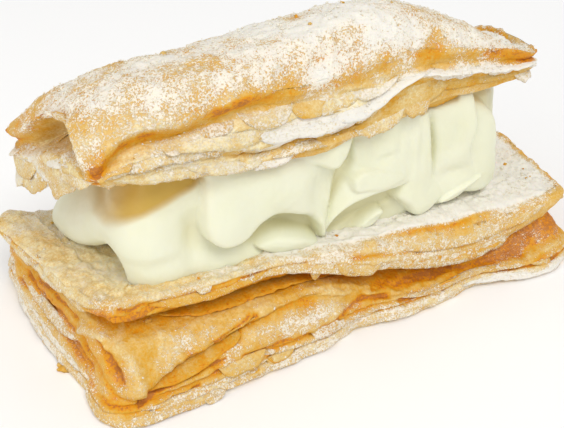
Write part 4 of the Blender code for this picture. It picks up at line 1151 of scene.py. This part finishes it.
def build_cream():
    """Build the whipped cream from overlapping folds over a recessed core."""
    d, counts = CREAM.stations(*CREAM_COLUMNS)
    levels = np.linspace(0.0, 1.0, CREAM_ROWS)
    point, normal = CREAM.at(d)
    away = short_way(d, CREAM)
    grid_d, grid_g = np.meshgrid(away, levels)
    low = slab_top(point[:, 0], point[:, 1]) - CREAM_HIDDEN_FOOT
    high = lid_seat(point[:, 1]) + CREAM_HIDDEN_TOP
    z = low + (high - low) * grid_g
    # the folds run over the left end and the front, and plain piped cream fills the rest
    front = ease(-38.0, -34.0, grid_d) * (1.0 - ease(81.0, 88.0, grid_d))
    # the core lies behind the folds, deepest under the lid and at the left end
    core = -2.6 + 1.4 * np.sin(np.pi * grid_g) - 1.6 * ease(0.85, 1.0, grid_g)
    core = core - 0.9 * ease(-3.0, -8.0, grid_d) * ease(-30.0, -22.0, grid_d)
    swirl = np.sin(0.42 * grid_d + 2.6 * grid_g) + 0.6 * np.sin(0.23 * grid_d - 4.0 * grid_g + 1.0)
    plain = -0.1 + 1.2 * np.sin(np.pi * grid_g) ** 0.7 + 1.15 * np.abs(swirl)
    total = np.exp(core / FOLD_BLEND)
    for _, lip, swell, edge in FOLDS:
        total = total + np.exp(fold_reach(grid_d, z, edge, lip, swell) / FOLD_BLEND)
    piped = FOLD_BLEND * np.log(total)
    for along, up, wide, tall, depth in DENTS:
        piped = piped - depth * np.exp(-((grid_d - along) / wide) ** 2 - ((z - up) / tall) ** 2)
    # the painted lid shadow is softer and fainter towards the left end
    blur = 1.0 + 1.4 * ease(3.0, -8.0, grid_d)
    tan = ease(-0.3, 0.9, (z - np.interp(grid_d, *zip(*TAN_LINE))) / blur)
    tan = tan * (0.5 + 0.5 * ease(-12.0, -2.0, grid_d))
    out = (piped - 0.8 * tan) * front + plain * (1 - front)
    x = point[:, 0] + normal[:, 0] * out
    y = point[:, 1] + normal[:, 1] * out
    loops = np.stack([x, y, z], axis=-1)
    count = len(d)
    faces = wall_faces(len(levels), count)
    inner, lid_faces, _ = cover(loops[-1], counts, (len(levels) - 1) * count)
    faces += lid_faces + [tuple(range(count))[::-1]]
    piece = make_mesh("cream_swirls", np.concatenate([loops.reshape(-1, 3), inner]), faces)
    xyz, normals = read_points(piece), read_points(piece, "normal")
    ripple = 0.10 * layered_grain(xyz, (5.0, 5.0, 3.5), 201, 2) + 0.03 * grain(xyz, 0.9, 211)
    write_points(piece, xyz + normals * ripple[:, None])
    spare = np.zeros(len(inner))
    # painted shade: the recessed cream is tinted a darker olive cream
    hollow_shade = ease(0.9, -2.2, out) * front
    # painted shadow under the lid: the tan band above the line, and the top of the cream where it is recessed under
    # the seat
    lid_shadow_tint = np.maximum(tan * front, 0.6 * ease(0.88, 1.0, grid_g) * ease(1.6, -0.8, out) * front)
    paint(piece, "hollow_shade", np.concatenate([hollow_shade.ravel(), spare]))
    paint(piece, "lid_shadow_tint", np.concatenate([lid_shadow_tint.ravel(), spare]))
    return piece


# ---- materials ---------------------------------------------------------------------------
def srgb(red, green, blue):
    """Return a linear colour from screen values."""
    parts = (red, green, blue)
    return tuple(((c / 255 + 0.055) / 1.055) ** 2.4 if c > 10 else c / 255 / 12.92 for c in parts) + (1.0,)


class Graph:
    """A small helper for wiring shader nodes."""

    def __init__(self, tree):
        self.tree = tree

    def add(self, kind, **settings):
        """Add a node, set its properties and its plain input values."""
        node = self.tree.nodes.new(kind)
        inputs = settings.pop("inputs", {})
        for key, value in settings.items():
            setattr(node, key, value)
        for key, value in inputs.items():
            if isinstance(value, bpy.types.NodeSocket):
                self.tree.links.new(value, node.inputs[key])
            else:
                node.inputs[key].default_value = value
        return node

    def math(self, operation, a, b=0.0, clamp=False):
        """Return the result of a sum on two values or sockets."""
        node = self.add("ShaderNodeMath", operation=operation, use_clamp=clamp, inputs={0: a, 1: b})
        return node.outputs[0]

    def mix(self, share, a, b):
        """Return a blend of two colours."""
        node = self.add("ShaderNodeMix", data_type="RGBA", inputs={0: share, 6: a, 7: b})
        return node.outputs[2]

    def noise(self, scale, detail=3.0, roughness=0.6, where=None):
        """Return noise from 0 to 1 at the given scale."""
        settings = {"Scale": scale, "Detail": detail, "Roughness": roughness}
        if where is not None:
            settings["Vector"] = where
        return self.add("ShaderNodeTexNoise", inputs=settings).outputs[0]

    def span(self, value, low, high, to_low=0.0, to_high=1.0):
        """Return a value stretched from one range to another, clamped."""
        node = self.add("ShaderNodeMapRange", inputs={0: value, 1: low, 2: high, 3: to_low, 4: to_high})
        return node.outputs[0]

    def place(self):
        """Return where a point is on its own piece."""
        return self.add("ShaderNodeTexCoord").outputs["Object"]

    def painted(self, name):
        """Return a share painted on the mesh."""
        return self.add("ShaderNodeAttribute", attribute_name=name).outputs["Fac"]

    def dress(self, surface, colour, rough, bump):
        """Lead a colour, a roughness and a bump into the shader."""
        for value, label in ((colour, "Base Color"), (rough, "Roughness"), (bump.outputs[0], "Normal")):
            self.tree.links.new(value, surface.inputs[label])


def new_group(name, inputs, outputs):
    """Return a node group with named float inputs and typed outputs, and its wiring helper."""
    tree = bpy.data.node_groups.new(name, "ShaderNodeTree")
    for label, value in inputs:
        socket = tree.interface.new_socket(label, in_out="INPUT", socket_type="NodeSocketFloat")
        socket.default_value = value
    for label, kind in outputs:
        tree.interface.new_socket(label, in_out="OUTPUT", socket_type=kind)
    graph = Graph(tree)
    entry = graph.add("NodeGroupInput")
    leave = graph.add("NodeGroupOutput")
    return tree, graph, entry, leave


BAKE_STOPS = [
    (0.00, srgb(240, 231, 202)), (0.12, srgb(240, 223, 174)), (0.25, srgb(228, 202, 142)),
    (0.39, srgb(222, 185, 111)), (0.56, srgb(217, 170, 73)), (0.72, srgb(216, 156, 32)),
    (0.84, srgb(220, 147, 6)), (0.93, srgb(212, 134, 8)), (1.00, srgb(186, 117, 46)),
]


def bake_group():
    """Build the group that turns a share of baking, which also carries painted shade, into mottled pastry colour.
    """
    inputs = [("Bake", 0.4), ("Mottle", 0.15)]
    tree, graph, entry, leave = new_group("Baked pastry colour", inputs, [("Colour", "NodeSocketColor")])
    coords = graph.place()
    broad = graph.noise(260.0, 4.0, 0.65, coords)
    fine = graph.noise(1900.0, 3.0, 0.7, coords)
    spread = graph.math("ADD", graph.span(broad, 0.3, 0.7, -0.3, 0.3), graph.span(fine, 0.3, 0.7, -1.1, 1.1))
    specks = graph.span(graph.noise(950.0, 2.0, 0.6, coords), 0.60, 0.68, 0.0, 1.0)
    tone = graph.math("ADD", graph.math("MULTIPLY", spread, entry.outputs["Mottle"]), entry.outputs["Bake"])
    toasted = graph.math("MULTIPLY", specks, graph.span(entry.outputs["Bake"], 0.3, 0.6, 0.0, 0.10))
    tone = graph.math("ADD", tone, toasted)
    ramp = graph.add("ShaderNodeValToRGB", inputs={0: tone})
    while len(ramp.color_ramp.elements) < len(BAKE_STOPS):
        ramp.color_ramp.elements.new(0.5)
    for element, (place, colour) in zip(ramp.color_ramp.elements, BAKE_STOPS):
        element.position, element.color = place, colour
    tree.links.new(ramp.outputs[0], leave.inputs["Colour"])
    return tree


def dust_group():
    """Build the group that turns a sugar share into a speckled covering and its thickness."""
    inputs = [("Sugar", 0.5), ("Fineness", 2800.0)]
    outputs = [("Cover", "NodeSocketFloat"), ("Height", "NodeSocketFloat")]
    tree, graph, entry, leave = new_group("Icing sugar dust", inputs, outputs)
    coords = graph.place()
    fine = graph.noise(entry.outputs["Fineness"], 3.0, 0.8, coords)
    clumps = graph.noise(640.0, 3.0, 0.65, coords)
    drifts = graph.noise(150.0, 2.0, 0.5, coords)
    texture = graph.math("ADD", graph.math("MULTIPLY", fine, 0.80), graph.math("MULTIPLY", clumps, 0.29))
    texture = graph.math("ADD", texture, graph.math("MULTIPLY", drifts, 0.11))
    level = graph.span(entry.outputs["Sugar"], 0.0, 1.0, 0.44, 0.77)
    grains = graph.span(graph.math("SUBTRACT", level, texture), -0.02, 0.02)
    grains = graph.math("MULTIPLY", grains, graph.span(entry.outputs["Sugar"], 0.0, 0.1))
    veil = graph.span(entry.outputs["Sugar"], 0.1, 1.0, 0.0, 0.28)
    covering = graph.math("ADD", graph.math("MULTIPLY", grains, 0.92), veil, clamp=True)
    tree.links.new(covering, leave.inputs["Cover"])
    height = graph.math("MULTIPLY", covering, graph.math("ADD", fine, 0.3))
    tree.links.new(height, leave.inputs["Height"])
    return tree


def relief_group():
    """Build the group that gives the fine relief of dry pastry."""
    inputs = [("Layers", 0.5), ("Crumb", 0.5)]
    tree, graph, entry, leave = new_group("Pastry relief", inputs, [("Height", "NodeSocketFloat")])
    coords = graph.place()
    flat = graph.add("ShaderNodeMapping", inputs={"Vector": coords, "Scale": (0.16, 0.16, 2.4)}).outputs[0]
    layers = graph.noise(1500.0, 3.0, 0.6, flat)
    crumb = graph.noise(1300.0, 4.0, 0.65, coords)
    height = graph.math("MULTIPLY", layers, entry.outputs["Layers"])
    height = graph.math("ADD", height, graph.math("MULTIPLY", crumb, entry.outputs["Crumb"]))
    tree.links.new(height, leave.inputs["Height"])
    return tree


def start_material(name):
    """Return a new material, its wiring helper and its shader."""
    material = bpy.data.materials.new(name)
    material.use_nodes = True
    return material, Graph(material.node_tree), material.node_tree.nodes["Principled BSDF"]


def set_plain(surface, **values):
    """Set the shader's own inputs that are the same all over."""
    for label, value in values.items():
        surface.inputs[label.replace("_", " ")].default_value = value


def pastry_material(name, groups, sugar_tints, mottle, layers, crumb, relief_depth, glow):
    """Build a baked pastry finish from the per-vertex shares of baking, which carry painted shade too, and of
    sugar.
    """
    material, graph, surface = start_material(name)
    bake = graph.painted("bake")
    sugar = graph.painted("sugar")
    colour = graph.add("ShaderNodeGroup", node_tree=groups["bake"], inputs={"Bake": bake, "Mottle": mottle})
    dust = graph.add("ShaderNodeGroup", node_tree=groups["dust"], inputs={"Sugar": sugar})
    relief = graph.add("ShaderNodeGroup", node_tree=groups["relief"], inputs={"Layers": layers, "Crumb": crumb})
    powder = graph.mix(graph.span(sugar, 0.4, 0.85), *sugar_tints)
    face = graph.mix(dust.outputs["Cover"], colour.outputs[0], powder)
    height = graph.math("ADD", relief.outputs[0], graph.math("MULTIPLY", dust.outputs["Height"], 0.3))
    bump = graph.add("ShaderNodeBump", inputs={"Height": height, "Strength": 0.8, "Distance": relief_depth * MM})
    rough = graph.span(dust.outputs["Cover"], 0.0, 1.0, 0.55, 0.9)
    graph.dress(surface, face, rough, bump)
    set_plain(surface, Subsurface_Weight=glow, Subsurface_Radius=(1.0, 0.62, 0.25), Subsurface_Scale=1.6 * MM,
              Specular_IOR_Level=0.3)
    return material


def sugar_material():
    """Build the dry powdery finish of icing sugar."""
    material, graph, surface = start_material("icing_sugar")
    coords = graph.place()
    fine = graph.noise(2600.0, 3.0, 0.6, coords)
    tint = graph.mix(graph.span(fine, 0.35, 0.65), srgb(240, 237, 226), srgb(226, 218, 198))
    bump = graph.add("ShaderNodeBump", inputs={"Height": fine, "Strength": 0.4, "Distance": 0.1 * MM})
    graph.dress(surface, tint, graph.span(fine, 0.3, 0.7, 0.8, 0.95), bump)
    set_plain(surface, Specular_IOR_Level=0.2)
    return material


def cream_material():
    """Build the smooth moist finish of whipped cream."""
    material, graph, surface = start_material("whipped_cream")
    coords = graph.place()
    broad = graph.noise(90.0, 2.0, 0.5, coords)
    fine = graph.noise(900.0, 3.0, 0.6, coords)
    hollow_shade = graph.painted("hollow_shade")
    lid_shadow_tint = graph.painted("lid_shadow_tint")
    tint = graph.mix(graph.span(broad, 0.35, 0.65), srgb(229, 230, 207), srgb(226, 227, 200))
    # painted shade in the cream's hollows
    tint = graph.mix(hollow_shade, tint, srgb(218, 213, 174))
    # painted shadow of the lid, in warm tan
    tint = graph.mix(lid_shadow_tint, tint, srgb(204, 171, 80))
    bump = graph.add("ShaderNodeBump", inputs={"Height": graph.math("ADD", fine, broad), "Strength": 0.25,
                                               "Distance": 0.12 * MM})
    graph.dress(surface, tint, graph.span(fine, 0.3, 0.7, 0.38, 0.52), bump)
    set_plain(surface, Subsurface_Weight=0.25, Subsurface_Radius=(1.0, 0.9, 0.6), Subsurface_Scale=1.0 * MM,
              Specular_IOR_Level=0.35)
    return material


# ---- camera, light and floor --------------------------------------------------------------
CAMERA_TURN = -27.22            # degrees round from the front
CAMERA_RISE = 35.0              # degrees above the floor
CAMERA_REACH = 152.1            # from the aim point
AIM = Vector((-14.3, -18.8, 30.0))
LENS_LONG = 54.26
SENSOR_WIDTH = 36.0
FLOOR_REACH = 3.0               # metres from the middle to an edge of the floor
SURROUNDING_LIGHT = 0.63


def place_camera():
    """Place the camera that looks down on the front left corner."""
    turn, rise = math.radians(CAMERA_TURN), math.radians(CAMERA_RISE)
    back = Vector((math.sin(turn) * math.cos(rise), -math.cos(turn) * math.cos(rise), math.sin(rise)))
    data = bpy.data.cameras.new("camera")
    data.sensor_width = SENSOR_WIDTH
    data.lens = LENS_LONG
    data.clip_start, data.clip_end = 0.005, 20.0
    camera = bpy.data.objects.new("camera", data)
    camera.location = (AIM + back * CAMERA_REACH) * MM
    camera.rotation_euler = back.to_track_quat("Z", "Y").to_euler()
    bpy.context.scene.collection.objects.link(camera)
    bpy.context.scene.camera = camera


def add_lamp(name, place, size, power, colour):
    """Add a soft square lamp aimed at the slice; place and size are in metres."""
    data = bpy.data.lights.new(name, "AREA")
    data.shape = "SQUARE"
    data.size = size
    data.energy = power
    data.color = colour
    lamp = bpy.data.objects.new(name, data)
    lamp.location = place
    lamp.rotation_euler = (Vector(place) - Vector((0, 0, 0.03))).to_track_quat("Z", "Y").to_euler()
    bpy.context.scene.collection.objects.link(lamp)


def build_stage():
    """Add the pale floor, the lamps and the soft surrounding light."""
    reach, bottom = FLOOR_REACH / MM, CAD_BOX[0][2] / MM
    corners = [(-reach, -reach, bottom), (reach, -reach, bottom), (reach, reach, bottom), (-reach, reach, bottom)]
    floor = make_mesh("floor", corners, [(0, 1, 2, 3)])
    material, _, surface = start_material("pale_floor")
    set_plain(surface, Base_Color=(0.97, 0.97, 0.97, 1.0), Roughness=0.9)
    floor.data.materials.append(material)
    add_lamp("key", (0.03, -0.92, 1.34), size=0.8, power=11.8, colour=(1.0, 0.985, 0.96))
    add_lamp("fill", (-0.68, -0.24, 0.33), size=0.6, power=1.5, colour=(1.0, 0.99, 0.97))
    world = bpy.data.worlds.new("surroundings")
    world.use_nodes = True
    sky = world.node_tree.nodes["Background"]
    sky.inputs["Color"].default_value = (1.0, 1.0, 1.0, 1.0)
    sky.inputs["Strength"].default_value = SURROUNDING_LIGHT
    bpy.context.scene.world = world
    bpy.context.scene.view_settings.view_transform = "Standard"


def finish_piece(piece, node, material, replaces=False):
    """Give a piece its material and hang it under the root body; when it stands for its node, hide that node's own
    part.
    """
    piece.data.materials.append(material)
    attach(piece, "root")
    if replaces:
        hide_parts(node)


place_camera()
build_stage()
GROUPS = {"bake": bake_group(), "dust": dust_group(), "relief": relief_group()}
SUGAR_TINTS = srgb(245, 233, 211), srgb(236, 232, 222)
crust = pastry_material("sugared_crust", GROUPS, SUGAR_TINTS, mottle=0.15, layers=0.4, crumb=0.7,
                        relief_depth=0.4, glow=0.08)
base = build_base()
lid = build_lid()
base_sheets, lid_sheets = build_base_sheets(), build_lid_sheets()
finish_piece(base, "base_pastry", crust, replaces=True)
finish_piece(build_cream(), "cream_filling", cream_material(), replaces=True)
finish_piece(lid, "lid_pastry", crust, replaces=True)
finish_piece(base_sheets, "base_pastry", crust)
finish_piece(lid_sheets, "lid_pastry", crust)
finish_piece(sugar_clumps([(lid, 3600), (base, 1800), (base_sheets, 500), (lid_sheets, 400)]), "lid_pastry",
             sugar_material())
finish_piece(pastry_crumbs([(base, 34), (lid, 10)]), "base_pastry", crust)
